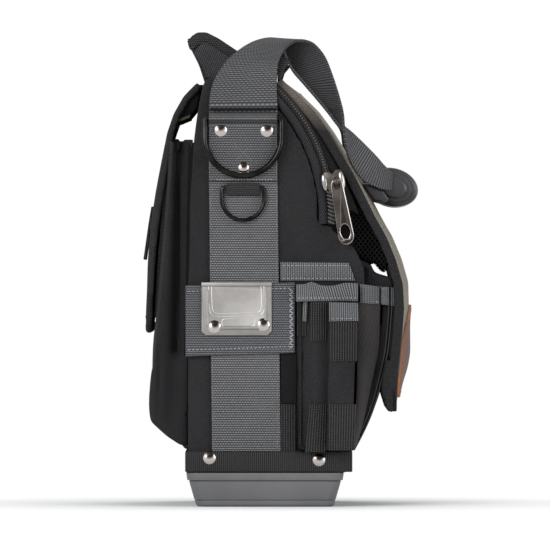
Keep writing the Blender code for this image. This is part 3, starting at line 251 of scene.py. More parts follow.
def moulded(name, dark, light, roughness=0.5, grain=1500.0, depth=0.00006, scuffs=0.35, specular=0.5):
    finish = Finish(name, roughness, specular=specular)
    place, _ = finish.coordinates("Object")
    cloud = finish.noise(place, 18.0, 5.0).between(0.3, 0.7)
    fine = finish.noise(place, grain, 2.0)
    scratch = finish.noise(finish.add("ShaderNodeMapping", inputs={"Vector": place, "Scale": (9.0, 30.0, 260.0)}), 6.0)
    worn = scratch.between(0.58, 0.72)
    finish.set("Base Color", finish.mix(cloud * 0.6 + worn * scuffs, dark, light))
    finish.set("Roughness", cloud * 0.12 + fine * 0.1 + (roughness - 0.11))
    finish.set("Normal", finish.bump(fine, depth))
    return finish.owner


def metal(name, dark, light, roughness=0.3, brush=(1.0, 1.0, 40.0)):
    finish = Finish(name, roughness, metallic=1.0)
    place, _ = finish.coordinates("Object")
    lines = finish.noise(finish.add("ShaderNodeMapping", inputs={"Vector": place, "Scale": brush}), 60.0, 3.0)
    cloud = finish.noise(place, 90.0, 4.0).between(0.35, 0.65)
    finish.set("Base Color", finish.mix(lines * 0.5 + cloud * 0.5, dark, light))
    finish.set("Roughness", lines * 0.14 + cloud * 0.06 + (roughness - 0.1))
    finish.set("Normal", finish.bump(lines, 0.00002))
    return finish.owner


def rivetSteel(name, dark, light):  # each head bright below and dark above, as it mirrors the room
    finish = Finish(name, 0.22, metallic=1.0)
    _, (u, v, _) = finish.coordinates()
    place, _ = finish.coordinates("Object")
    # noise for worn roughness, which also breaks up the edge of the painted reflection
    wearAndReflectionJitter = finish.noise(place, 400.0, 3.0)
    off = ((u - 0.52) * (u - 0.52) + (v - 0.78) * (v - 0.78)).math("SQRT")
    # painted reflection: a dark spot above the middle of each head, bright round it
    shade = 1 - (off + wearAndReflectionJitter * 0.10).between(0.28, 0.46)
    finish.set("Base Color", finish.mix(shade, light, dark)).set("Roughness", wearAndReflectionJitter * 0.15 + 0.15)
    return finish.owner


def thread(name, colour):
    finish = Finish(name, 0.7, specular=0.25)
    _, (x, y, z) = finish.coordinates("Object")
    twist = (x + y + z).wave(0.0005)
    finish.set("Base Color", finish.mix(twist, tuple(part * 0.72 for part in colour), colour))
    return finish.owner


finishes = {
    "twill": twill("blackTwill", 0.001, (0.061, 0.060, 0.064)),
    # a darker copy of the twill: painted shade, laid where the side is in shadow under the pockets
    "shadedTwill": twill("shadedTwill", 0.001, (0.024, 0.0235, 0.025)),
    "softTwill": twill("softTwill", (0.004, 0.004, 0.005), (0.062, 0.062, 0.066), 0.0017, 0.6),
    "collarCloth": twill("collarCloth", (0.006, 0.006, 0.007), (0.110, 0.108, 0.115), 0.0016, 0.4),
    "satinCloth": twill("satinCloth", 0.012, 0.046, 0.0009, 0.3, 0.6, 0.3),
    "lining": twill("darkLining", 0.003, (0.020, 0.019, 0.018)),
    "khaki": twill("khakiLining", (0.03, 0.028, 0.02), (0.13, 0.115, 0.085)),
    "greyWebbing": webbing("greyWebbing", (0.008, 0.008, 0.009), (0.310, 0.312, 0.322)),
    # the strap and patch webbings are darker copies of the grey webbing: painted shade on the handle strap and the
    # anchor patch
    "shadedStrapWebbing": webbing("shadedStrapWebbing", (0.006, 0.006, 0.007), (0.225, 0.227, 0.236)),
    "patchWebbing": webbing("patchWebbing", (0.008, 0.008, 0.009), (0.250, 0.252, 0.258)),
    # a still darker copy for the strap's back face: painted shade
    "shadedWebbingBack": webbing("shadedWebbingBack", (0.006, 0.006, 0.007), (0.135, 0.136, 0.142), 0.0015, 0.0016),
    "greyBand": webbing("greyBand", (0.010, 0.010, 0.011), (0.235, 0.24, 0.255), 0.0017, 0.0019),
    "greyTape": grosgrain("greyTape", (0.018, 0.019, 0.021), (0.25, 0.255, 0.265), 0.0016, weft=0.5),
    "wavyTape": grosgrain("wavyTape", (0.020, 0.021, 0.023), (0.27, 0.275, 0.285), 0.0016, across=True, weft=0.5),
    "ribbed": grosgrain("ribbedBlack", 0.001, (0.086, 0.083, 0.082), 0.0019, depth=0.0011, weft=0.55),
    "bandRibs": grosgrain("bandRibs", 0.005, (0.064, 0.063, 0.063), 0.0015, depth=0.0003, weft=0.5),
    "coverTape": grosgrain("coverTape", 0.001, (0.029, 0.026, 0.024), 0.0020, across=True, weft=0.5),
    "coverEdge": fadedBinding("coverEdge", (0.001, (0.036, 0.035, 0.036)),
                              ((0.055, 0.046, 0.038), (0.19, 0.165, 0.145)), 0.276, 0.300),
    "binding": webbing("blackBinding", 0.006, (0.092, 0.091, 0.095), 0.0014, 0.0015, gloss=0.1),
    "gusset": twill("gussetCloth", (0.012, 0.011, 0.011), (0.100, 0.092, 0.090), 0.0012, 0.2, 0.8, 0.15),
    "taupe": plainWeave("taupeCloth", (0.13, 0.116, 0.095), (0.32, 0.292, 0.245)),
    "leather": leather("brownLeather", (0.055, 0.030, 0.026), (0.17, 0.100, 0.086)),
    "leatherEdge": leather("leatherEdge", (0.30, 0.11, 0.06), (0.56, 0.24, 0.13)),
    "net": netting("blackNet", 0.008),
    "hook": webbing("hookTape", 0.006, (0.050, 0.050, 0.052), 0.0016, 0.0016, gloss=0.1),
    "board": moulded("baseBoard", 0.030, 0.060, 0.7),
    "tray": moulded("greyTray", (0.115, 0.115, 0.118), (0.160, 0.160, 0.164), 0.5, specular=0.3),
    "rubber": moulded("blackRubber", (0.008, 0.008, 0.010), (0.034, 0.034, 0.038), 0.34, 900.0, 0.00008, 0.3, 0.5),
    "satin": moulded("satinPiping", (0.010, 0.010, 0.011), (0.040, 0.040, 0.042), 0.4, 700.0, specular=0.4),
    "teeth": moulded("zipTeeth", 0.03, (0.16, 0.155, 0.15), 0.4, specular=0.4),
    "zipTape": grosgrain("zipTape", (0.006, 0.005, 0.005), (0.045, 0.041, 0.038), 0.0012),
    "darkSteel": metal("darkSteel", 0.003, (0.033, 0.032, 0.031), 0.12),
    "rivetSteel": rivetSteel("rivetSteel", (0.030, 0.024, 0.021), (0.52, 0.48, 0.46)),
    "nickel": metal("satinNickel", (0.20, 0.185, 0.180), (0.46, 0.43, 0.42), 0.22),
    "agedNickel": metal("agedNickel", (0.040, 0.034, 0.030), (0.115, 0.100, 0.090), 0.36),
    "plate": metal("brushedPlate", (0.215, 0.208, 0.200), (0.325, 0.315, 0.305), 0.52, (60.0, 1.0, 1.0)),
    # a brighter copy of the plate's metal for its embossed lines: painted highlight
    "ridge": metal("plateRidgeHighlight", (0.52, 0.51, 0.50), (0.72, 0.71, 0.69), 0.30),
    "paleThread": thread("paleThread", (0.42, 0.425, 0.44)),
    "greyThread": thread("greyThread", (0.25, 0.252, 0.26)),
    "darkThread": thread("darkThread", (0.075, 0.075, 0.078)),
    "coverThread": thread("coverThread", (0.42, 0.385, 0.33)),
    "tanThread": thread("tanThread", (0.36, 0.17, 0.10)),
}
print("finishes", len(finishes))


def vertsOf(geom):
    return [item for item in geom if isinstance(item, bmesh.types.BMVert)]


def placed(name, data):  # an object in the scene
    holder = bpy.data.objects.new(name, data)
    scene.collection.objects.link(holder)
    return holder


def meshOf(name, build):  # a bmesh handed over as mesh data
    data = bpy.data.meshes.new(name)
    build.to_mesh(data)
    build.free()
    return data


def outwards(build):  # every face turned to look out
    bmesh.ops.recalc_face_normals(build, faces=build.faces)
    return build


def cut(build, place, normal, **options):  # along a plane
    bmesh.ops.bisect_plane(build, geom=build.verts[:] + build.edges[:] + build.faces[:], dist=1e-6,
                           plane_co=place, plane_no=normal, **options)


def ball(build, place, size, subdivisions=1):  # stretched to its half sizes
    bmesh.ops.create_icosphere(build, subdivisions=subdivisions, radius=1.0,
                               matrix=place @ Matrix.Diagonal((*size, 1.0)))


def spun(build, places, centre, axis, steps):  # a profile turned all the way round
    verts = [build.verts.new(place) for place in places]
    edges = [build.edges.new(pair) for pair in zip(verts, verts[1:])]
    bmesh.ops.spin(build, geom=verts + edges, cent=centre, axis=axis, angle=math.tau, steps=steps, use_merge=True)
    bmesh.ops.remove_doubles(build, verts=build.verts, dist=1e-6)
    return outwards(build)


def crumple(depth, scale):  # a push of small random swells
    return lambda place, normal: normal * depth * noise.noise(place * scale)


def cadMesh(*names):  # a copy of CAD nodes, merged, with its flat faces whole
    build = bmesh.new()
    for name in names:
        build.from_mesh(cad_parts[name].data)
    bmesh.ops.remove_doubles(build, verts=build.verts, dist=1e-5)
    bmesh.ops.dissolve_limit(build, angle_limit=math.radians(1), verts=build.verts, edges=build.edges)
    return build


def soften(build, width, segments=2, angle=35):  # round the edges of a copy
    edges = [edge for edge in build.edges if edge.is_manifold and edge.calc_face_angle(0.0) > math.radians(angle)]
    bmesh.ops.bevel(build, geom=edges, offset=width, offset_type="OFFSET", segments=segments, profile=0.5,
                    affect="EDGES", material=-1, clamp_overlap=True)
    return build


def slices(build, **steps):  # cut a mesh into cells so that it can be shaped
    for axis, step in steps.items():
        index = "xyz".index(axis)
        low = min(vert.co[index] for vert in build.verts)
        high = max(vert.co[index] for vert in build.verts)
        normal = Vector(1.0 if i == index else 0.0 for i in range(3))
        count = math.ceil((high - low) / step)
        for i in range(1, count):
            cut(build, normal * (low + (high - low) * i / count), normal)
    return build


def worked(data, voxel=0.0):  # what Blender makes of a curve, or of a mesh with a new skin
    holder = placed("working", data)
    if voxel:
        modifier = holder.modifiers.new("skin", "REMESH")
        modifier.mode, modifier.voxel_size = "VOXEL", voxel
    bpy.context.view_layer.update()
    result = bpy.data.meshes.new_from_object(holder.evaluated_get(bpy.context.evaluated_depsgraph_get()))
    build = bmesh.new()
    build.from_mesh(result)
    bpy.data.objects.remove(holder)
    bpy.data.meshes.remove(result)
    return build


def remeshed(build, voxel, passes=3):  # one even skin over a solid, its edges rounded as cloth is
    source = meshOf("working", build)
    build = worked(source, voxel)
    bpy.data.meshes.remove(source)
    for _ in range(passes):
        bmesh.ops.smooth_vert(build, verts=build.verts, factor=0.5, use_axis_x=True, use_axis_y=True, use_axis_z=True)
    return build


def shape(build, push):  # push(place, normal) gives each vertex its move
    build.normal_update()
    moves = [push(vert.co, vert.normal) for vert in build.verts]
    for vert, move in zip(build.verts, moves):
        vert.co += move
    build.normal_update()
    return build


def lay(build, mapOf):  # a map of the piece's own: mapOf(face, vert) gives u and v
    layer = build.loops.layers.uv.verify()
    for face in build.faces:
        for loop in face.loops:
            loop[layer].uv = mapOf(face, loop.vert)


def flattest(face, vert):  # the weave in metres, seen from the face's flattest side
    (x, y, z), normal = vert.co, face.normal
    if abs(normal.y) > 0.62:
        return x, z
    return y, (z if abs(normal.x) >= abs(normal.z) else x)


def paint(build, second):  # the second finish wherever second(face) holds
    for face in build.faces:
        face.material_index = 1 if second(face) else 0


def piece(name, build, finish, body="bag", slot="black_nylon", stands=(), smooth=38, keep=False, blend=None):
    if not keep:
        build.normal_update()
        lay(build, flattest)
    made = meshOf(name, build)
    for each in (finish if isinstance(finish, (list, tuple)) else [finish]):
        made.materials.append(finishes[each])
    made.shade_smooth()
    made.set_sharp_from_angle(angle=math.radians(smooth))
    holder = placed(name, made)
    if blend:
        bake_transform(holder)
    else:
        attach(holder, body)
    if stands:
        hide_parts(*stands)
    return holder


# a CAD node with nothing but its edges rounded
def rounded(name, node, finish, width, segments=2, angle=35, **rest):
    piece(name, soften(cadMesh(node), width, segments, angle), finish, stands=[node], **rest)


def join(builds):
    whole = bmesh.new()
    for build in builds:
        part = meshOf("part", build)
        whole.from_mesh(part)
        bpy.data.meshes.remove(part)
    return whole


# a grid laid by place(s, t), with a map in metres and a thickness along out
def sheetOf(across, along, place, thickness=0.0, out=None, rim=0.0):
    build = bmesh.new()
    bmesh.ops.create_grid(build, x_segments=across, y_segments=along, size=1.0)
    shares = {vert: ((vert.co.x + 1) / 2, (vert.co.y + 1) / 2) for vert in build.verts}
    width = sum((place((i + 1) / 8, 0.5) - place(i / 8, 0.5)).length for i in range(8))
    length = sum((place(0.5, (i + 1) / 24) - place(0.5, i / 24)).length for i in range(24))
    lay(build, lambda face, vert: (shares[vert][0] * width, shares[vert][1] * length))
    for vert, (s, t) in shares.items():
        vert.co = place(s, t)
    if thickness:
        build.normal_update()
        if out is not None and sum((face.normal for face in build.faces), Vector()).dot(out) < 0:
            bmesh.ops.reverse_faces(build, faces=build.faces)
            build.normal_update()
        lifted = vertsOf(bmesh.ops.extrude_face_region(build, geom=build.faces[:])["geom"])
        build.normal_update()
        directions = [out if out is not None else vert.normal.copy() for vert in lifted]
        for vert, direction in zip(lifted, directions):
            vert.co += direction * thickness
        outwards(build)
        if rim:
            soften(build, rim, 2, 50)
    return build


# a strip on a side of the bag between four pixels: lower left, lower right, upper right, upper left
def tape(corners, depth, sign, thickness=0.0012, cells=(24, 6), ripple=None, rim=0.0003):
    places = [at(*corner) for corner in corners]

    def place(s, t):
        low = [places[0][i] + (places[1][i] - places[0][i]) * s for i in (0, 1)]
        high = [places[3][i] + (places[2][i] - places[3][i]) * s for i in (0, 1)]
        x, z = (low[i] + (high[i] - low[i]) * t for i in (0, 1))
        return Vector((x, sign * (depth + (ripple(s, t) if ripple else 0.0)), z))

    return sheetOf(*cells, place, thickness, Vector((0, sign, 0)), rim)


def strip(name, finish, *shaping, body="bag", slot="black_nylon", stands=()):  # shaping is what tape() takes
    piece(name, tape(*shaping), finish, body, slot, stands, keep=True)


def curvedPanel(left, right, depth, sign, thickness=0.0012, cells=(16, 30)):  # between two lines of pixels
    lines = [onSide(left), onSide(right)]

    def place(s, t):
        here = along(lines[0], t).lerp(along(lines[1], t), s)
        return Vector((here.x, sign * depth(s, t), here.z))

    return sheetOf(*cells, place, thickness, Vector((0, sign, 0)), 0.0003)


def stitchRow(build, points, out, pitch=0.0030, length=0.0021, width=0.00065):
    for first, second in zip(points, points[1:]):
        first, second = Vector(first), Vector(second)
        along = (second - first).normalized()
        side = along.cross(out).normalized()
        turn = Matrix((along, side, along.cross(side))).transposed().to_4x4()
        count = max(1, round((second - first).length / pitch))
        for i in range(count):
            middle = first + (second - first) * ((i + 0.5) / count)
            ball(build, Matrix.Translation(middle) @ turn, (length / 2, width / 2, width / 2))


# a piece of stitches: each row is its points, the way out of the cloth, and its pitch, length and width
def stitched(name, rows, finish, slot, body="bag"):
    threads = bmesh.new()
    for row in rows:
        stitchRow(threads, *row)
    piece(name, threads, finish, body, slot, smooth=80)


def dome(build, centre, out, radius, height):  # a rivet's head, spun from its profile
    out = Vector(out).normalized()
    side = out.orthogonal().normalized()
    profile = [(0.0, 1.0), (0.38, 0.93), (0.68, 0.72), (0.88, 0.40), (0.97, 0.16), (1.0, 0.0)]
    spun(build, [centre + side * radius * a + out * height * b for a, b in profile], centre, out, 20)


def prism(pixels, low, high):  # a side outline of named pixels drawn out between two depths
    build = bmesh.new()
    corners = [build.verts.new(place) for place in onSide(pixels, low)]
    edges = [build.edges.new(pair) for pair in zip(corners, corners[1:] + corners[:1])]
    bmesh.ops.contextual_create(build, geom=corners + edges)
    drawn = bmesh.ops.extrude_face_region(build, geom=build.faces[:])["geom"]
    bmesh.ops.translate(build, verts=vertsOf(drawn), vec=(0, high - low, 0))
    return outwards(build)


def block(pixels, low, high, voxel, passes=1):  # a prism with its edges rounded
    return remeshed(prism(pixels, low, high), voxel, passes)


def crease(x, z, first, second, width, depth):
    start, end, here = Vector(at(*first)), Vector(at(*second)), Vector((x, z))
    share = min(1.0, max(0.0, (here - start).dot(end - start) / (end - start).length_squared))
    away = (here - start.lerp(end, share)).length / (width * photo["metresPerPixel"])
    return depth * math.exp(-away * away)


def tube(path, radius, steps):  # a round cord on a smooth line through places
    points = [along(path, i / steps) for i in range(steps + 1)]
    curve = bpy.data.curves.new("cord", "CURVE")
    curve.dimensions, curve.bevel_depth, curve.bevel_resolution, curve.use_fill_caps = "3D", radius, 3, True
    spline = curve.splines.new("POLY")
    spline.points.add(len(points) - 1)
    for target, point in zip(spline.points, points):
        target.co = (*point, 1.0)
    build = worked(curve)
    bpy.data.curves.remove(curve)
    return outwards(build)


def along(points, share):  # Catmull-Rom through a list of vectors
    place = share * (len(points) - 1)
    i = min(int(place), len(points) - 2)
    t = place - i
    a, b, c, d = (points[max(0, min(len(points) - 1, i + k))] for k in (-1, 0, 1, 2))
    return 0.5 * ((2 * b) + (c - a) * t + (2 * a - 5 * b + 4 * c - d) * t * t + (3 * b - a - 3 * c + d) * t ** 3)


print("helpers ready")

# the bag: sides, back, top and lower front as one sewn shell
bag = {
    "voxel": 0.0022, "middle": Vector((0.0, 0.0, 0.16)), "side": 0.1078, "sag": 0.0007,
    "creases": [
        ((348, 212), (296, 262), 7, 0.0022), ((356, 240), (312, 262), 5, 0.0018), ((300, 128), (330, 205), 11, 0.0014),
        ((336, 215), (284, 250), 6, 0.0012),
        ((196, 150), (193, 430), 4, 0.0006), ((288, 380), (292, 440), 7, 0.0008), ((200, 210), (196, 280), 5, 0.0009),
    ],
}


def bagPush(place, normal):
    if abs(place.y) < bag["side"] or abs(normal.y) < 0.5:
        return normal * 0.0004 * noise.noise(place * 45)
    dip = bag["sag"] * (0.5 + 0.5 * noise.noise(Vector((place.x * 30, place.y * 9, place.z * 22))))
    dip += sum(crease(place.x, place.z, *line) for line in bag["creases"])
    return Vector((0, -math.copysign(dip, place.y), 0))


shellNodes = ["side_panel_near", "side_panel_far", "back_panel", "top_panel", "front_panel"]
shell = shape(remeshed(cadMesh(*shellNodes), bag["voxel"], 2), bagPush)
paint(shell, lambda face: face.normal.dot(face.calc_center_median() - bag["middle"]) < 0)
piece("bagShell", shell, ["twill", "lining"], stands=shellNodes, smooth=60)

divider = slices(soften(cadMesh("centre_divider"), 0.0008), y=0.012, z=0.012)
shape(divider, lambda place, normal: Vector((0.0012 * noise.noise(place * 30), 0, 0)))
piece("bayDivider", divider, "lining", stands=["centre_divider"])
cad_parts["floor_board"].data.materials[0] = finishes["board"]
print("bag shell done")

# base
rounded("baseTray", "base_tray", "tray", 0.0005, angle=20, slot="grey_moulded_plastic")
rounded("baseBand", "base_band", "bandRibs", 0.0006, slot="ribbed_webbing")

# zips: arc centre and radii as the CAD has them
zipper = {
    "centre": Vector((-0.0801, 0.0, 0.214564)), "radius": 0.129, "top": math.radians(50), "foot": math.radians(-3),
    "slider": math.radians(10.5), "pipingRadius": 0.12295, "pipingWire": 0.0034, "inner": 0.112, "stand": 0.004,
    "backingWidth": 0.0155, "wingRadius": 0.1316, "wingFoot": math.radians(4),
    "depth": {"piping": 0.1076, "backing": 0.1035, "teeth": 0.1096, "wing": 0.1045},
    # closed chain above the slider and open coil below it: step in degrees, and half sizes
    "closed": (0.94, (0.0009, 0.0006, 0.0006), 0.0), "open": (1.25, (0.0034, 0.0009, 0.0009), 0.4),
}


def onArc(angle, radius, y):  # a place at an angle of the zip's arc
    return zipper["centre"] + Vector((radius * math.cos(angle), y, radius * math.sin(angle)))


def spunArc(radius, wire, y):  # a round roll along the seam
    build = bmesh.new()
    start = onArc(zipper["top"], radius, y)
    out = Vector((math.cos(zipper["top"]), 0, math.sin(zipper["top"])))
    turn = Matrix((out, Vector((0, 1, 0)), out.cross(Vector((0, 1, 0))))).transposed().to_4x4()
    circle = bmesh.ops.create_circle(build, segments=14, radius=wire, matrix=Matrix.Translation(start) @ turn)
    bmesh.ops.spin(build, geom=circle["verts"] + build.edges[:], cent=zipper["centre"], axis=(0, 1, 0),
                   angle=zipper["top"] - zipper["foot"], steps=44)
    bmesh.ops.holes_fill(build, edges=build.edges, sides=0)
    return outwards(build)


for side, sign in sides:
    depth = {name: sign * value for name, value in zipper["depth"].items()}
    roll = spunArc(zipper["pipingRadius"], zipper["pipingWire"], depth["piping"])
    shape(roll, crumple(0.0003, 120))
    piece("piping." + side, roll, "softTwill", stands=["piping_" + side])
    chain = soften(cadMesh("zip_chain_" + side), 0.0003)
    shape(chain, lambda place, normal: Vector((0, -sign * 0.0010 if abs(place.y) > 0.1095 else 0.0, 0)))
    piece("zipTape." + side, chain, "zipTape", slot="zip_teeth", stands=["zip_chain_" + side])
    backing = sheetOf(6, 44, lambda s, t: onArc(zipper["top"] + (zipper["foot"] - zipper["top"]) * t,
                                                zipper["inner"] + zipper["backingWidth"] * s, depth["backing"]),
                      0.0008, Vector((0, sign, 0)))
    piece("zipBacking." + side, backing, "lining", keep=True)
    teeth = bmesh.new()
    for low, high, (step, size, lean) in ((zipper["slider"], zipper["top"], zipper["closed"]),
                                          (zipper["foot"], zipper["slider"], zipper["open"])):
        count = round((high - low) / math.radians(step))
        for i in range(count):
            here = low + (high - low) * (i + 0.5) / count
            turn = Matrix.Rotation(-here, 4, "Y") @ Matrix.Rotation(lean, 4, "Y")
            place = Matrix.Translation(onArc(here, zipper["radius"], depth["teeth"]))
            ball(teeth, place @ turn, size, 2)
    piece("zipTeeth." + side, teeth, "teeth", slot="zip_teeth", smooth=80)
    inner = onSide([(277, 88), (300, 111), (319, 134), (332, 156), (342, 174), (352, 196), (359, 214)], 0.1005, sign)
    wing = sheetOf(10, 44, lambda s, t: onArc(zipper["top"] + (zipper["wingFoot"] - zipper["top"]) * t,
                                              zipper["wingRadius"], depth["wing"]).lerp(along(inner, t), s),
                   0.0009, Vector((0, sign, 0)))
    piece("coverZipTape." + side, wing, "coverTape", "cover", slot="ribbed_webbing", keep=True)

# slider and pull
pull = {"tilt": math.radians(10.3), "rim": 0.0006, "long": 1.18, "turn": math.radians(6.3),
        "pivot": (0.052344, 0.1171, 0.239111), "lobe": (0.0024, 0.0017),
        "lobes": ((-0.0068, 0.0010, 0.1140, 0.0064), (0.0058, 0.0004, 0.1146, 0.0070))}


def onSlider(u, v, y):
    out = Vector((math.cos(zipper["slider"]), 0, math.sin(zipper["slider"])))
    up = Vector((-out.z, 0, out.x))
    return zipper["centre"] + out * (zipper["radius"] + zipper["stand"] + u) + up * v + Vector((0, y, 0))


for side, sign in sides:
    rounded("zipSlider." + side, "zip_slider_" + side, "agedNickel", 0.0006, 3,
            body="slider_" + side, slot="dark_plated_steel")
    turn = Matrix.Rotation(-zipper["slider"], 4, "Y")
    lobes = bmesh.new()
    for u, v, y, long in pull["lobes"]:
        ball(lobes, Matrix.Translation(onSlider(u, v, sign * y)) @ turn, (*pull["lobe"], long), 3)
    piece("sliderLobes." + side, lobes, "nickel", "slider_" + side, "dark_plated_steel")
    fall = Vector((math.sin(pull["tilt"]), 0, -math.cos(pull["tilt"])))
    pivot = Vector(pull["pivot"]) * Vector((1, sign, 1))
    tab = soften(cadMesh("zip_pull_" + side), 0.0007, 2)
    bmesh.ops.rotate(tab, cent=pivot, matrix=Matrix.Rotation(-pull["turn"], 3, "Y"), verts=tab.verts)
    for vert in tab.verts:
        drop = (vert.co - pivot).dot(fall)
        if drop > 0:
            vert.co += fall * drop * (pull["long"] - 1)
    tab.normal_update()
    flats = [face for face in tab.faces if abs(face.normal.y) > 0.9]
    bmesh.ops.inset_region(tab, faces=flats, thickness=pull["rim"], use_even_offset=True)
    # the rim faces take the brighter nickel and the flats the darker: a painted highlight along the pull's edges
    paint(tab, lambda face: face not in flats)
    piece("zipPull." + side, tab, ["agedNickel", "nickel"], "pull_" + side, "dark_plated_steel", ["zip_pull_" + side])
print("zips done")

# front cover: cloth with a dark inside, bound edge, leather patch and net pocket
cover = {"voxel": 0.0020, "outward": Vector((0.8, 0, 0.55)), "puff": 0.0006, "crown": 0.0017, "half": 0.0997,
         "liningHalf": 0.0006, "seam": 0.0905}


def coverPush(place, normal):  # the crown swells between the bound edges
    rise = min(1.0, max(0.0, (place.x - 0.03) / 0.04)) * max(0.0, 1 - (place.y / cover["half"]) ** 2)
    wrinkle = cover["puff"] * noise.noise(place * 26) + 0.0009 * noise.noise(Vector((place.y * 11, place.z * 16, 3.0)))
    return Vector((cover["crown"] * rise, 0, 0)) + normal * wrinkle


cloth = shape(remeshed(cadMesh("front_cover"), cover["voxel"], 2), coverPush)
paint(cloth, lambda face: face.normal.dot(cover["outward"]) <= 0)
crown = BVHTree.FromBMesh(cloth)
piece("coverCloth", cloth, ["taupe", "lining"], "cover", "taupe_cover_cloth", ["front_cover"], 60)
edging = shape(slices(soften(cadMesh("cover_binding"), 0.0011, 3), z=0.004), coverPush)
piece("coverBinding", edging, "coverEdge", "cover", "ribbed_webbing", ["cover_binding"])
hem = block([(386, 360), (382, 378), (381.5, 392), (387.5, 411), (393, 413), (393, 360)], -0.104, 0.104, 0.0014, 2)
piece("coverHem", hem, "coverEdge", "cover", "black_nylon", smooth=60)


def onCrown(y, z, out):  # a place on the cover's cloth, out in front of it
    for share in (1.0, 0.97, 0.94, 0.90):
        hit = crown.ray_cast(Vector((0.3, y * share, z)), Vector((-1, 0, 0)))[0]
        if hit:
            return Vector((hit.x + out, y, z))
    return Vector((0.097 + out, y, z))


# the patch: an arch over a squarer foot, bellied near its foot
leatherPatch = {"middle": at(0, 347)[1], "rise": at(0, 305)[1] - at(0, 347)[1], "drop": at(0, 347)[1] - at(0, 399)[1],
                "half": 0.0945, "thickness": 0.0017, "belly": 0.0020}


def patchPlace(s, t, out=layers["lift"]):
    a, b = s * 2 - 1, t * 2 - 1
    curl, reach = (1.0, leatherPatch["rise"]) if b > 0 else (0.25, leatherPatch["drop"])
    y = a * math.sqrt(1 - curl * b * b / 2) * leatherPatch["half"]
    z = leatherPatch["middle"] + b * math.sqrt(1 - curl * a * a / 2) * reach
    belly = crease(0.0, z, (265, 364), (265, 356), 20, leatherPatch["belly"]) * (1 - (y / leatherPatch["half"]) ** 2)
    return onCrown(y, z, out + belly)


patch = sheetOf(56, 32, patchPlace, leatherPatch["thickness"], Vector((1, 0, 0)), 0.0004)
patch.normal_update()
paint(patch, lambda face: face.normal.x < 0.6)
piece("coverPatch", patch, ["leather", "leatherEdge"], "cover", "brown_leather", ["cover_patch"], 60, keep=True)
rim = [(0.035, 0.05 + 0.9 * i / 12) for i in range(13)] + [(0.035 + 0.93 * i / 18, 0.95) for i in range(19)]
rim += [(1 - s, 1 - t) for s, t in rim]
seamLine = [patchPlace(s, t, leatherPatch["thickness"] + layers["lift"]) for s, t in rim + rim[:1]]
stitched("patchStitches", [(seamLine, Vector((1, 0, 0)), 0.0036, 0.0026, 0.0008)], "tanThread", "brown_leather",
         "cover")
longStitch = (0.0034, 0.0024, 0.0008)
rows = [([onCrown(y, at(0, 96 + 12 * i)[1], layers["lift"]) for i in range(19)], cover["outward"], *longStitch)
        for y in (-cover["seam"], cover["seam"])]
rows += [([onCrown(-0.088 + 0.011 * i, at(0, 92)[1], layers["lift"]) for i in range(17)],
          Vector((0.5, 0, 0.85)), *longStitch)]
stitched("coverStitches", rows, "coverThread", "taupe_cover_cloth", "cover")
pocket = slices(soften(cadMesh("cover_net"), 0.003), x=0.006, y=0.008, z=0.006)
shape(pocket, crumple(0.0016, 60))
piece("coverNet", pocket, "net", "cover", "black_net", ["cover_net"], 60)
slab = cadMesh("cover_net")
for sign in (-1, 1):  # a thin dark layer from the middle of the net, behind its mesh: painted shade of the pocket's inside
    cut(slab, (0, sign * cover["liningHalf"], 0), (0, sign, 0), clear_outer=True)
bmesh.ops.holes_fill(slab, edges=slab.edges, sides=0)
piece("netShadeLayer", outwards(slab), "lining", "cover", "black_net")
print("cover done")

# rear pocket with pleated sides, its hook strip, the padded flap and its loop
rear = {"voxel": 0.0022, "side": 0.088, "seam": {"in": 0.009, "width": 0.0016, "depth": 0.0011},
        "folds": [((182, 130), (178, 350), 6, 0.0110), ((176, 365), (170, 415), 9, 0.0030),
                  ((160, 345), (157, 418), 2.0, 0.0018), ((154, 424), (172, 434), 1.8, 0.0016)]}
rearward = Vector((-1, 0, 0))


def rearPush(place, normal):
    if abs(place.y) > rear["side"] and abs(normal.y) > 0.4:
        dip = sum(crease(place.x, place.z, *line) for line in rear["folds"])
        return Vector((0, -math.copysign(dip, place.y), 0))
    return normal * 0.0009 * noise.noise(Vector((place.x * 20, place.y * 22, place.z * 14)))


piece("rearPocket", shape(remeshed(cadMesh("rear_pocket"), rear["voxel"], 3), rearPush), "twill",
      stands=["rear_pocket"], smooth=60)
rounded("rearHookStrip", "rear_pocket_tab", "hook", 0.0005, slot="hook_tape")
flap = remeshed(cadMesh("rear_flap"), 0.0020, 4)


def flapPush(place, normal):
    low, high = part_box("rear_flap")
    edge = min(high.y - abs(place.y), place.z - low.z)
    seam = rear["seam"]
    dip = seam["depth"] * math.exp(-((edge - seam["in"]) / seam["width"]) ** 2)
    return normal * (0.0007 * noise.noise(place * 22) - dip)


shape(flap, flapPush)
outer = BVHTree.FromBMesh(flap)
padding = piece("rearFlap", flap, "softTwill", "flap", "black_nylon", ["rear_flap"], 60)
rounded("rearFlapLoop", "rear_flap_loop", "ribbed", 0.0005, body="flap", slot="ribbed_webbing")
low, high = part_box("rear_flap")
route = [(-high.y + 0.0075, high.z - 0.022), (-high.y + 0.0075, low.z + 0.016), (-high.y + 0.016, low.z + 0.0075)]
route += [(-y, z) for y, z in route[::-1]]
places = []
for (y, z), (nextY, nextZ) in zip(route, route[1:]):
    for i in range(12):
        start = Vector((-0.3, y + (nextY - y) * i / 12, z + (nextZ - z) * i / 12))
        places.append((outer.ray_cast(start, -rearward)[0] or start - rearward * 0.15) + rearward * 0.0001)
stitched("flapStitches", [(places, rearward, *longStitch)], "darkThread", "black_nylon", "flap")
low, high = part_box("rear_flap_loop")
rows = []
for z in (low.z + 0.004, high.z - 0.004):
    starts = [Vector((-0.3, low.y + (high.y - low.y) * (0.08 + 0.84 * i / 8), z)) for i in range(9)]
    hits = [outer.ray_cast(start, -rearward)[0] for start in starts]
    rows.append(([hit + rearward * 0.0021 for hit in hits if hit], rearward, 0.0030, 0.0021, 0.0007))
stitched("loopStitches", rows, "greyThread", "ribbed_webbing", "flap")
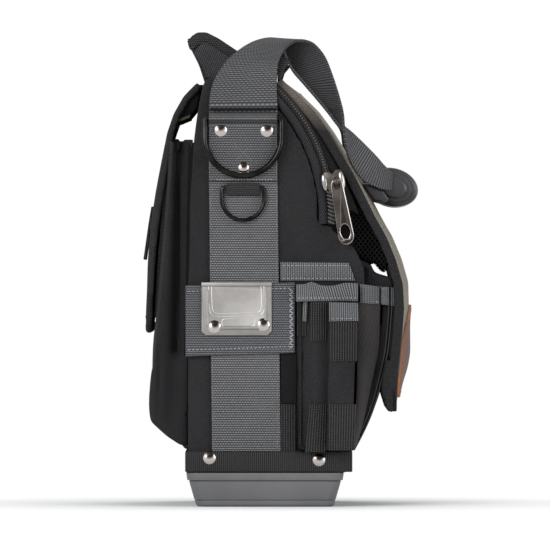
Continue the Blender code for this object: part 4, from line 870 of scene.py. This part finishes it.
for side, sign in sides:
    curl = block([(200, 90), (199, 99), (196.5, 108), (190, 116), (181, 121), (176, 122.5), (176, 117), (184, 104),
                  (193, 94)], sign * 0.0800, sign * 0.0850, 0.0012, 2)
    shape(curl, lambda place, normal: Vector((0, -sign * 0.004 * max(0.0, at(0, 100)[1] - place.z) / 0.015, 0)))
    piece("flapCurl." + side, curl, "lining", "flap", "black_nylon", smooth=60)
    strip("flapLining." + side, "khaki", [(176, 122.5), (190, 117), (190, 114), (176, 119)], 0.0832, sign, 0.0010,
          (12, 4), body="flap")
    strip("pocketSeam." + side, "lining", [(182, 436), (190, 436), (197, 143), (188, 143)], 0.0880, sign, 0.0014,
          (4, 30))
    fold = onSide([(171.5, 141), (169, 190), (164, 250), (159, 310), (155, 350), (154, 420)], 0.0885, sign)
    piece("pocketRoll." + side, tube(fold, 0.0020, 40), "satinCloth")
for name, outline, half, voxel, finish, slotName in (
    ("pocketFoot", [(172, 433), (180, 430), (190, 430), (190, 450.5), (184.5, 449.5), (181, 444.5), (177.5, 439.5)],
     0.0885, 0.0016, "twill", "black_nylon"),
    ("hookBacking", [(164, 172), (169, 172), (165.5, 240), (160, 320), (154, 318), (157, 262)],
     0.086, 0.0016, "hook", "hook_tape"),
    ("flapHinge", [(198, 84), (203.5, 84), (203, 99), (199.5, 99)], 0.080, 0.0012, "lining", "black_nylon"),
):
    piece(name, block(outline, -half, half, voxel), finish, slot=slotName, smooth=60)
print("rear done")

# front pockets
for name in ("inner", "outer"):
    pocket = remeshed(cadMesh("front_pocket_" + name), 0.0018, 2)
    shape(pocket, crumple(0.0008, 30))
    piece("frontPocket." + name, pocket, "twill", stands=["front_pocket_" + name], smooth=60)
    band = slices(soften(cadMesh("front_pocket_tape_" + name), 0.0002), y=0.008)
    piece("frontTape." + name, band, "greyTape", slot="grey_tape", stands=["front_pocket_tape_" + name])
rolls = {
    0.0976: [(380, 287), (379.6, 304), (377.5, 350), (370, 385), (362, 411), (357, 432), (353, 447)],
    0.0946: [(392, 287), (392.5, 304), (388.4, 350), (380, 388), (375, 404), (369, 420), (361, 437), (354, 450)],
}
cords = [tube(onSide([(px + shift, py) for px, py in pixels], depth, sign), 0.0009, 40)
         for depth, pixels in rolls.items() for sign in (-1, 1) for shift in (0.0, -3.0)]
piece("frontPiping", join(cords), "satin")
mouth = block([(350, 256), (361, 259.5), (366, 261), (370.5, 264), (374.5, 272.5), (387, 276.5), (392, 277),
               (393, 289), (354, 290)], -0.0935, 0.0935, 0.0013)
shape(mouth, crumple(0.0009, 60))
piece("pocketMouth", mouth, "softTwill", smooth=60)
for side, sign in sides:
    strip("bayLining." + side, "lining", [(325, 238), (356, 262), (354, 238), (333, 205)], 0.0895, sign, 0.0010,
          (8, 8))
    strip("mouthLining." + side, "lining", [(362, 285), (366.5, 285.5), (369.5, 269), (364.5, 267)], 0.0935, sign,
          0.0010, (5, 12))
    gusset = curvedPanel([(356.5, 302), (357, 350), (356, 400), (351, 452)],
                         [(380, 300), (379.5, 330), (376.5, 360), (370, 392), (363, 424), (356, 448)],
                         lambda s, t: 0.1112 - 0.0125 * s ** 1.5 + 0.0022 * math.sin(math.pi * s), sign)
    piece("frontGusset." + side, gusset, "gusset", keep=True)
    for index, (corners, depth, lean) in enumerate((
        ([(360, 303), (379.5, 304.5), (379.5, 286.5), (360, 284)], 0.1118, -0.0105),
        ([(381.5, 304.5), (389.5, 305.5), (389.5, 287), (381.5, 287)], 0.0990, -0.0012),
        ([(391, 306), (396.5, 306.5), (396.5, 288), (391, 287.5)], 0.0960, -0.0010),
    )):
        strip(f"gussetTape{index + 1}.{side}", "greyTape", corners, depth, sign, 0.0012, (12, 8),
              lambda s, t: lean * s ** 1.5 + 0.0020 * math.sin(math.pi * s) * (index == 0)
              + 0.0004 * math.sin(t * 9), slot="grey_tape")
print("front pockets done")

# side pockets, sleeves and tapes
sidePocket = {
    "voxel": 0.0017, "step": 0.0325, "stepWidth": 0.0011, "back": 0.0052, "bulge": 0.0016,
    "sewn": (0.0445, 0.1215), "rearColumn": (0.117, 0.1195),
    "columns": ((0.0393, 0.0065, 0.117), (0.0575, 0.0100, 0.125)),
    # ribbed webbing at the pockets' heads and feet: corners, how far out, and its swell
    "ribbed": (
        ([(310.5, 341), (326.5, 341), (326.5, 302), (310.5, 302)], 0.1194, 0.0016),
        ([(305, 452), (325, 452), (326.5, 404), (309.5, 404)], 0.1194, 0.0016),
        ([(330, 361), (357.5, 361), (358, 322), (330, 322)], 0.1277, 0.0016),
        ([(328.5, 450), (355, 450), (356.5, 404), (329, 404)], 0.1277, 0.0016),
        ([(297, 336), (309, 337), (309, 302), (297, 302)], 0.1142, 0.0),
    ),
}
for side, sign in sides:
    def sidePush(place, normal):  # the pocket's rear column lies back, and its front one bulges
        front, outside = sidePocket["sewn"]
        inner, outer = sidePocket["rearColumn"]
        free = place.x < front or abs(place.y) > outside
        move = normal * (0.0007 * noise.noise(place * 40) if free else 0.0)
        if inner < abs(place.y) < outer:
            back = 1 / (1 + math.exp((place.x - sidePocket["step"]) / sidePocket["stepWidth"]))
            move.y -= sign * sidePocket["back"] * back
        for middle, half, low in sidePocket["columns"]:
            across = 1 - ((place.x - middle) / half) ** 2
            if across > 0 and abs(place.y) > low and place.x > sidePocket["step"]:
                move.y += sign * sidePocket["bulge"] * across
        return move

    for kind, slotName in (("side_pocket_", "sidePocket."), ("side_sleeve_", "sideSleeve.")):
        body = shape(remeshed(cadMesh(kind + side), sidePocket["voxel"], 1), sidePush)
        piece(slotName + side, body, "twill", stands=[kind + side], smooth=60)
    rounded("trimTape." + side, "side_trim_tape_" + side, "greyTape", 0.0003, slot="grey_tape")
    wavy = curvedPanel([(296, 284.5), (305, 284), (312, 282), (322, 285.5), (334, 285.5), (345, 283), (358, 283.5)],
                       [(296, 301.5), (327, 301), (358, 301)],
                       lambda s, t: 0.1196 + 0.0009 * math.sin(t * 19) ** 2 * (1 - s), sign, 0.0012, (8, 44))
    piece("pocketTape." + side, wavy, "wavyTape", slot="grey_tape", stands=["side_pocket_tape_" + side], keep=True)
    strip("sleeveTape." + side, "greyTape", [(329, 321.5), (358.5, 321), (358, 303), (329, 302)], 0.1279, sign,
          0.0012, (20, 6), lambda s, t: -0.0012 * (1 - min(1.0, s * 8)) + 0.0004 * math.sin(s * 9) ** 2,
          slot="grey_tape", stands=["side_sleeve_tape_" + side])
    for index, (corners, depth, swell) in enumerate(sidePocket["ribbed"]):
        strip(f"ribbedPanel{index + 1}.{side}", "ribbed", corners, depth, sign, 0.0009, (20, 14),
              lambda s, t: 0.0003 * math.sin(t * 7) ** 2 + swell * (1 - (2 * s - 1) ** 2), slot="ribbed_webbing")
    strip("ribbedPanel6." + side, "ribbed", [(281, 452), (296, 452), (296, 404), (281, 404)], layers["first"], sign,
          0.0009, (10, 14), slot="ribbed_webbing")
    # a dark twill sheet over the recess under the clip band and sleeve: painted shade
    strip("shadedTwill." + side, "shadedTwill", [(281, 403.5), (300.5, 403.5), (303.5, 351), (281, 351)], 0.1106,
          sign, 0.0008, (12, 14), lambda s, t: 0.0034 * s * s)
    if side == "near":
        strip("fabricTag", "greyTape", [(302.5, 321), (306.5, 322), (307.5, 300), (303.5, 299)], 0.1158, sign,
              0.0008, (6, 10), lambda s, t: 0.0016 * s + 0.0008 * math.sin(t * 3), slot="grey_tape")
print("side pockets done")

# webbing, anchor, clip
for side, sign in sides:
    rounded("sideWebbing." + side, "side_webbing_" + side, "greyWebbing", 0.0004, slot="grey_webbing")
    patch = soften(cadMesh("anchor_patch_" + side), 0.0004, 2, 50)
    lay(patch, lambda face, vert: (vert.co.x, vert.co.z - abs(vert.co.y)))  # its ribs run on round the fold
    # the patch's darker webbing is painted shade
    piece("anchorPatch." + side, patch, "patchWebbing", slot="grey_webbing", stands=["anchor_patch_" + side],
          keep=True)
    rounded("ringLoop." + side, "ring_loop_" + side, "binding", 0.0003, angle=50, slot="ribbed_webbing")


def wireRing(half, drop, wire, corner=0.003):  # a D-ring bent from wire, its bar at the origin
    build = bmesh.new()
    leg = drop - half
    last = bmesh.ops.create_circle(build, segments=14, radius=wire / 2,
                                   matrix=Matrix.Translation((half, 0, -corner)))["verts"]
    # straight runs are moves, and bends are a centre, an angle and steps
    for bend in ((0, 0, corner - leg), ((0, 0, -leg), math.pi, 40), (0, 0, leg - corner),
                 ((corner - half, 0, -corner), math.pi / 2, 6), (2 * (half - corner), 0, 0),
                 ((half - corner, 0, -corner), math.pi / 2, 6)):
        edges = list({edge for vert in last for edge in vert.link_edges if edge.other_vert(vert) in last})
        if isinstance(bend[0], tuple):
            bent = bmesh.ops.spin(build, geom=last + edges, cent=bend[0], axis=(0, 1, 0), angle=bend[1], steps=bend[2])
            last = vertsOf(bent["geom_last"])
        else:
            last = vertsOf(bmesh.ops.extrude_edge_only(build, edges=edges)["geom"])
            bmesh.ops.translate(build, verts=last, vec=bend)
    bmesh.ops.remove_doubles(build, verts=build.verts, dist=1e-5)
    return outwards(build)


# half width, drop, wire, where its bar lies, and its tilt
ring = {"big": (0.0281, 0.0425, 0.0044, 0.1164, 0.28598, 3), "small": (0.0156, 0.0242, 0.0030, 0.1156, 0.23508, 0)}
for side, sign in sides:
    for size, (half, drop, wire, y, z, tilt) in ring.items():
        bent = wireRing(half, drop, wire)
        place = Matrix.Translation((-0.0162, sign * y, z)) @ Matrix.Rotation(sign * math.radians(tilt), 4, "X")
        bmesh.ops.transform(bent, matrix=place, verts=bent.verts)
        piece(f"{size}Ring.{side}", bent, "darkSteel", f"{size}_d_{side}", "dark_plated_steel", [f"{size}_ring_{side}"])
clip = slices(soften(cadMesh("clip_band"), 0.0004), x=0.008, z=0.008)
piece("clipBand", clip, "greyBand", slot="grey_webbing", stands=["clip_band"])
rounded("clipPlate", "clip_plate", "plate", 0.0005, 3, slot="brushed_steel")
emboss = {"depth": 0.1163, "width": 0.00032, "lines": [
    [(208.5, 285), (208.8, 300), (209.8, 311), (213.5, 316), (225, 316.5), (250, 315.8), (260, 315), (264, 310.5),
     (264.3, 300), (263.8, 284.5)],
    [(211.5, 285), (211.8, 300), (212.6, 309.5), (215.5, 313), (226, 313.5), (249, 312.8), (258, 312), (261, 308.5),
     (261.3, 300), (260.8, 284.5)],
    [(222, 325), (222.2, 320.5), (226, 319), (238, 318.8), (250, 318.5), (254, 320), (254.4, 324.5), (251, 326.6),
     (238, 327.2), (225.5, 327.4), (222.2, 325.2)],
]}
# the embossed lines take the brighter metal: a painted highlight along each ridge
ridges = [tube(onSide(pixels, emboss["depth"], -1), emboss["width"], 60) for pixels in emboss["lines"]]
piece("plateRidges", join(ridges), "ridge", slot="brushed_steel")
print("webbing and fittings done")

# collar round the back of the top
collar = slices(soften(cadMesh("top_collar"), 0.0006), x=0.005, z=0.005, y=0.012)
shape(collar, lambda place, normal: Vector((0, 0.0016 * noise.noise(place * 45), 0)) if abs(normal.y) > 0.7
      else Vector())
piece("topCollar", collar, "collarCloth", stands=["top_collar"])
low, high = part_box("top_collar")
rise = onSide([(210, 84), (207.5, 78), (204.5, 68), (201.8, 60), (196.5, 49), (193, 41), (191, 37)])
wall = sheetOf(30, 12, lambda s, t: along(rise, t) + Vector((
    0.0010 * math.sin(s * 9) * t, (s * 2 - 1) * (high.y - 0.0012), 0)), 0.0031, Vector((-0.95, 0, -0.2)), 0.0004)
piece("collarWall", wall, "softTwill", keep=True)
seam = [(192.5, 47), (198, 42.5), (206, 42), (220, 47), (234, 55)]
seams = [tube(onSide(seam, high.y, sign), 0.0006, 30) for side, sign in sides]
piece("collarSeam", join(seams), "satin")
roll = shape(remeshed(cadMesh("collar_binding"), 0.0012, 2), lambda place, normal: normal * 0.0006)
piece("collarBinding", roll, "binding", slot="ribbed_webbing", stands=["collar_binding"], smooth=60)

# handle: each strap is one length of webbing from its anchor over the fold to the grip; its two edges are
# given as depth, height and how far out of the anchor's plane, as shares of the bag's
strap = {
    "tuck": at(0, 108.5)[1],
    "size": (0.120, 0.316, 0.110), "thickness": 0.0020, "bend": ((0.010, 0.0, 0.3446), (0.027, 0.0, 0.3446)),
    "edges": [
        ((-0.343, 0.868, 0.002), (0.077, 0.868, 0.002)), ((-0.343, 0.919, 0.002), (0.077, 0.919, 0.002)),
        ((-0.337, 0.958, 0.003), (0.073, 0.963, 0.004)), ((-0.312, 0.993, 0.006), (0.073, 0.998, 0.034)),
        ((-0.263, 1.023, 0.005), (0.080, 1.030, 0.052)), ((-0.202, 1.049, -0.057), (0.098, 1.047, 0.061)),
        ((-0.122, 1.072, -0.103), (0.122, 1.063, 0.061)), ((-0.043, 1.086, -0.139), (0.153, 1.075, 0.056)),
        ((0.043, 1.091, -0.175), (0.196, 1.084, 0.034)), ((0.110, 1.082, -0.203), (0.251, 1.084, 0.006)),
        ((0.135, 1.056, -0.221), (0.306, 1.075, -0.030)), ((0.171, 1.026, -0.239), (0.367, 1.047, -0.057)),
        ((0.239, 0.996, -0.248), (0.410, 1.007, -0.075)), ((0.319, 0.961, -0.266), (0.453, 0.956, -0.094)),
        ((0.392, 0.928, -0.285), (0.478, 0.916, -0.103)), ((0.465, 0.893, -0.285), (0.484, 0.879, -0.103)),
        ((0.533, 0.872, -0.266), (0.496, 0.837, -0.130)), ((0.606, 0.847, -0.266), (0.527, 0.800, -0.185)),
        ((0.680, 0.819, -0.303), (0.600, 0.761, -0.248)), ((0.735, 0.795, -0.357), (0.704, 0.742, -0.321)),
        ((0.784, 0.779, -0.425), (0.778, 0.737, -0.416)),
    ],
}
for side, sign in sides:
    def strapPlace(shares):
        depth, height, half = strap["size"]
        return Vector((shares[0] * depth, sign * (layers["strapPlane"] + shares[2] * half), shares[1] * height))

    def tuck(place, normal):  # the webbing bulges, then folds in behind the patch's top
        below = math.exp(-((place.z - strap["tuck"]) / 0.0055) ** 2) if place.z > strap["tuck"] else 0.0
        return normal * -strap["thickness"] / 2 + Vector((0, sign * 0.0030 * below, 0))

    lines = [[strapPlace(pair[i]) for pair in strap["edges"]] for i in (0, 1)]
    build = sheetOf(14, 110, lambda s, t: along(lines[0], t).lerp(along(lines[1], t), s))
    shape(build, tuck)
    # the back face gets the darker webbing and the front the strap webbing: painted shade on the back
    facing = sign * sum(face.normal.y for face in build.faces if face.calc_center_median().z < 0.30 and
                        face.calc_center_median().x < 0.01)
    paint(build, lambda face: facing > 0)
    top = bmesh.ops.extrude_face_region(build, geom=build.faces[:])["geom"]
    for item in top:
        if isinstance(item, bmesh.types.BMFace):
            item.material_index = 0 if facing > 0 else 1
    build.normal_update()
    for vert, direction in [(vert, vert.normal.copy()) for vert in vertsOf(top)]:
        vert.co += direction * strap["thickness"]
    soften(outwards(build), 0.0004, 2, 60)
    piece("handleStrap." + side, build, ["shadedStrapWebbing", "shadedWebbingBack"], slot="grey_webbing",
          stands=["strap_lower_" + side, "strap_upper_" + side], keep=True,
          blend=("handle_lower", "handle_upper", *strap["bend"]))

    web = prism([(277.5, 62), (284, 55), (291, 61), (285, 68), (282, 78), (277.5, 80)], sign * 0.1085, sign * 0.1105)
    piece("strapLining." + side, soften(web, 0.0003), "binding",
          blend=("handle_lower", "handle_upper", *strap["bend"]))

    tail = block([(362, 183), (368, 193), (374, 200), (384, 203), (390, 199), (384, 190), (370, 183)],
                 sign * 0.0640, sign * 0.0700, 0.0012)
    piece("gripTail." + side, tail, "rubber", "handle_upper", "black_rubber", smooth=60)
    # a thin dark strip along the patch's top edge: painted shadow of the fold where the strap tucks in behind the patch
    strip("anchorFoldShadow." + side, "lining", [(209.5, 110.4), (277, 110), (277, 107.8), (209.5, 108.2)], 0.1146, sign,
          0.0014, (20, 3), slot="grey_webbing")

# grip: a lathe profile, flattened and tilted, with stepped boots
grip = {"deep": 0.0192, "high": 0.0142, "tilt": -16,
        "profile": [(0.0, 0.985), (0.016, 0.995), (0.0335, 0.985), (0.0350, 0.955), (0.0362, 0.955), (0.0374, 0.99),
                    (0.0405, 0.99), (0.0417, 0.96), (0.0429, 0.96), (0.0442, 1.0), (0.0515, 1.0), (0.0540, 0.97),
                    (0.0548, 0.90), (0.0551, 0.78), (0.0575, 0.765), (0.0588, 0.75), (0.0592, 0.66), (0.0594, 0.58),
                    (0.0612, 0.57), (0.0626, 0.55), (0.0632, 0.50), (0.06355, 0.42), (0.06355, 0.0)]}
low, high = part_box("handle_grip")
centre = (low + high) / 2
profile = [(-y, r) for y, r in grip["profile"][::-1]][:-1] + grip["profile"]
handle = spun(bmesh.new(), [(r, y, 0) for y, r in profile], (0, 0, 0), (0, 1, 0), 48)
bmesh.ops.scale(handle, vec=(grip["deep"], 1, grip["high"]), verts=handle.verts)
bmesh.ops.rotate(handle, cent=(0, 0, 0), matrix=Matrix.Rotation(-math.radians(grip["tilt"]), 3, "Y"),
                 verts=handle.verts)
bmesh.ops.translate(handle, vec=centre, verts=handle.verts)
piece("handleGrip", handle, "rubber", "handle_upper", "black_rubber", ["handle_grip"], 30)
print("handle done")

# rivets and stitches
rivet = {  # pixel, radius, how far out and height
    "both": (((220.5, 130), 0.0052, 0.1146, 0.00156), ((267, 130.4), 0.0052, 0.1146, 0.00156),
             ((243.5, 168), 0.0044, 0.1146, 0.00132), ((209.5, 458), 0.0049, 0.1121, 0.00147),
             ((319, 460), 0.0049, 0.1121, 0.00147)),
    "near": (((214.5, 327), 0.0050, 0.1165, 0.0013), ((263.3, 325), 0.0050, 0.1165, 0.0013)),
}
studs = bmesh.new()
heads = []
for sign, group in ((-1, "both"), (1, "both"), (-1, "near")):
    for pixel, radius, depth, height in rivet[group]:
        middle = onSide([pixel], depth, sign)[0]
        dome(studs, middle, (0, sign, 0), radius, height)
        heads.append((middle, radius))


def onHead(face, vert):  # the map of a rivet's head, from 0 to 1 across it
    centre, radius = min(heads, key=lambda head: (head[0] - face.calc_center_median()).length)
    off = (vert.co - centre) / radius
    return off.x / 2 + 0.5, off.z / 2 + 0.5


lay(studs, onHead)
piece("rivets", studs, "rivetSteel", slot="brushed_steel", keep=True)
for side, sign in sides:
    out = Vector((0, sign, 0))
    rows = [([(282, 265.5), (348, 265.5)], 0.11152), ([(282, 278.5), (352, 278.5)], 0.11152),
            ([(297, 298), (357, 298)], 0.12095), ([(331, 318.5), (357, 318.5)], 0.12925),
            ([(361, 300.5), (379, 302)], 0.1095)]
    rows += [([(216 + 3 * i, 178 + 3 * (i % 2)), (219 + 3 * i, 181 - 3 * (i % 2))], 0.11462) for i in range(19)]
    if side == "near":  # the clip's band: two rows and a zigzag
        rows += [([(187, 291.5), (291, 288)], 0.11462), ([(187, 350), (291, 346.5)], 0.11462)]
        rows = [([(289 + 4.5 * (i % 2), 289 + 2.7 * i), (293.5 - 4.5 * (i % 2), 291.7 + 2.7 * i)], 0.11465,
                 0.0050, 0.0038, 0.0010) for i in range(22)] + rows
    stitched("stitches." + side, [(onSide(pixels, depth, sign), out, *sizes) for pixels, depth, *sizes in rows],
             "paleThread", "grey_tape")
    rows = [([(px, 188), (px, 284)], 0.1125) for px in (210.3, 276.3)]
    rows += [([(212.5, 352), (213, 449)], 0.1125), ([(277.5, 352), (277.5, 449)], 0.1125)]
    rows += [([(px, 113), (px, 181)], 0.1147) for px in (210, 276.5)]
    rows += [([(234, 143), (251, 160)], 0.1147), ([(252, 144), (236, 160)], 0.1147)]
    fine = (0.0019, 0.0016, 0.0005)
    stitched("selvedges." + side, [(onSide(pixels, depth, sign), out, *fine) for pixels, depth in rows],
             "greyThread", "grey_webbing")
print("rivets and stitches done")

# stage, lamps and camera
stage = {"world": 0.55, "distance": 8.0, "nearPlane": -0.113, "fade": (0.10, 0.28), "lamps": {
    # place, what it aims at, size and power
    "keyLamp": ((-0.9, -1.75, 0.80), (0.0, 0.0, 0.18), 0.9, 24.0),
    "fillLamp": ((1.5, -1.2, 0.5), (0.0, 0.0, 0.18), 1.0, 12.0),
    "topLamp": ((0.3, 0.9, 1.6), (0.0, 0.0, 0.2), 0.9, 5.0),
}}
build = bmesh.new()
bmesh.ops.create_grid(build, x_segments=40, y_segments=40, size=6.0)
floor = placed("floor", meshOf("floor", build))
ground = Nodes(bpy.data.materials.new("paleFloor"))
ground.tree.nodes.clear()
_, (x, y, _) = ground.coordinates("Object")
far = (x * x + y * y).math("SQRT").between(*stage["fade"])
matt = ground.add("ShaderNodeBsdfDiffuse", inputs={"Color": 0.93})
white = ground.add("ShaderNodeEmission", inputs={"Color": 1.0, "Strength": 1.0})
ground.finishWith("ShaderNodeOutputMaterial",
                  ground.add("ShaderNodeMixShader", inputs={0: far * ground.seen(), 1: matt, 2: white}))
floor.data.materials.append(ground.owner)

world = scene.world or bpy.data.worlds.new("studio")
scene.world = world
sky = Nodes(world)
sky.tree.nodes.clear()
soft = sky.add("ShaderNodeBackground", inputs={"Color": (0.96, 0.98, 1.0), "Strength": stage["world"]})
clear = sky.add("ShaderNodeBackground", inputs={"Color": 1.0, "Strength": 1.0})
sky.finishWith("ShaderNodeOutputWorld", sky.add("ShaderNodeMixShader", inputs={0: sky.seen(), 1: soft, 2: clear}))

for name, (place, aim, size, power) in stage["lamps"].items():
    light = bpy.data.lights.new(name, "AREA")
    light.shape, light.size, light.energy = "SQUARE", size, power
    holder = placed(name, light)
    holder.location = place
    holder.rotation_euler = (Vector(aim) - Vector(place)).to_track_quat("-Z", "Y").to_euler()

camera = bpy.data.cameras.new("camera")
camera.sensor_width = 36.0
camera.lens = 36.0 * stage["distance"] / (photo["pixels"] * photo["metresPerPixel"])
camera.clip_end = 50.0
holder = placed("camera", camera)
x, z = at(*photo["centre"])
holder.location = (x, stage["nearPlane"] - stage["distance"], z)
holder.rotation_euler = (math.pi / 2, 0, 0)
scene.camera = holder
scene.view_settings.view_transform = "Standard"
print("stage done")
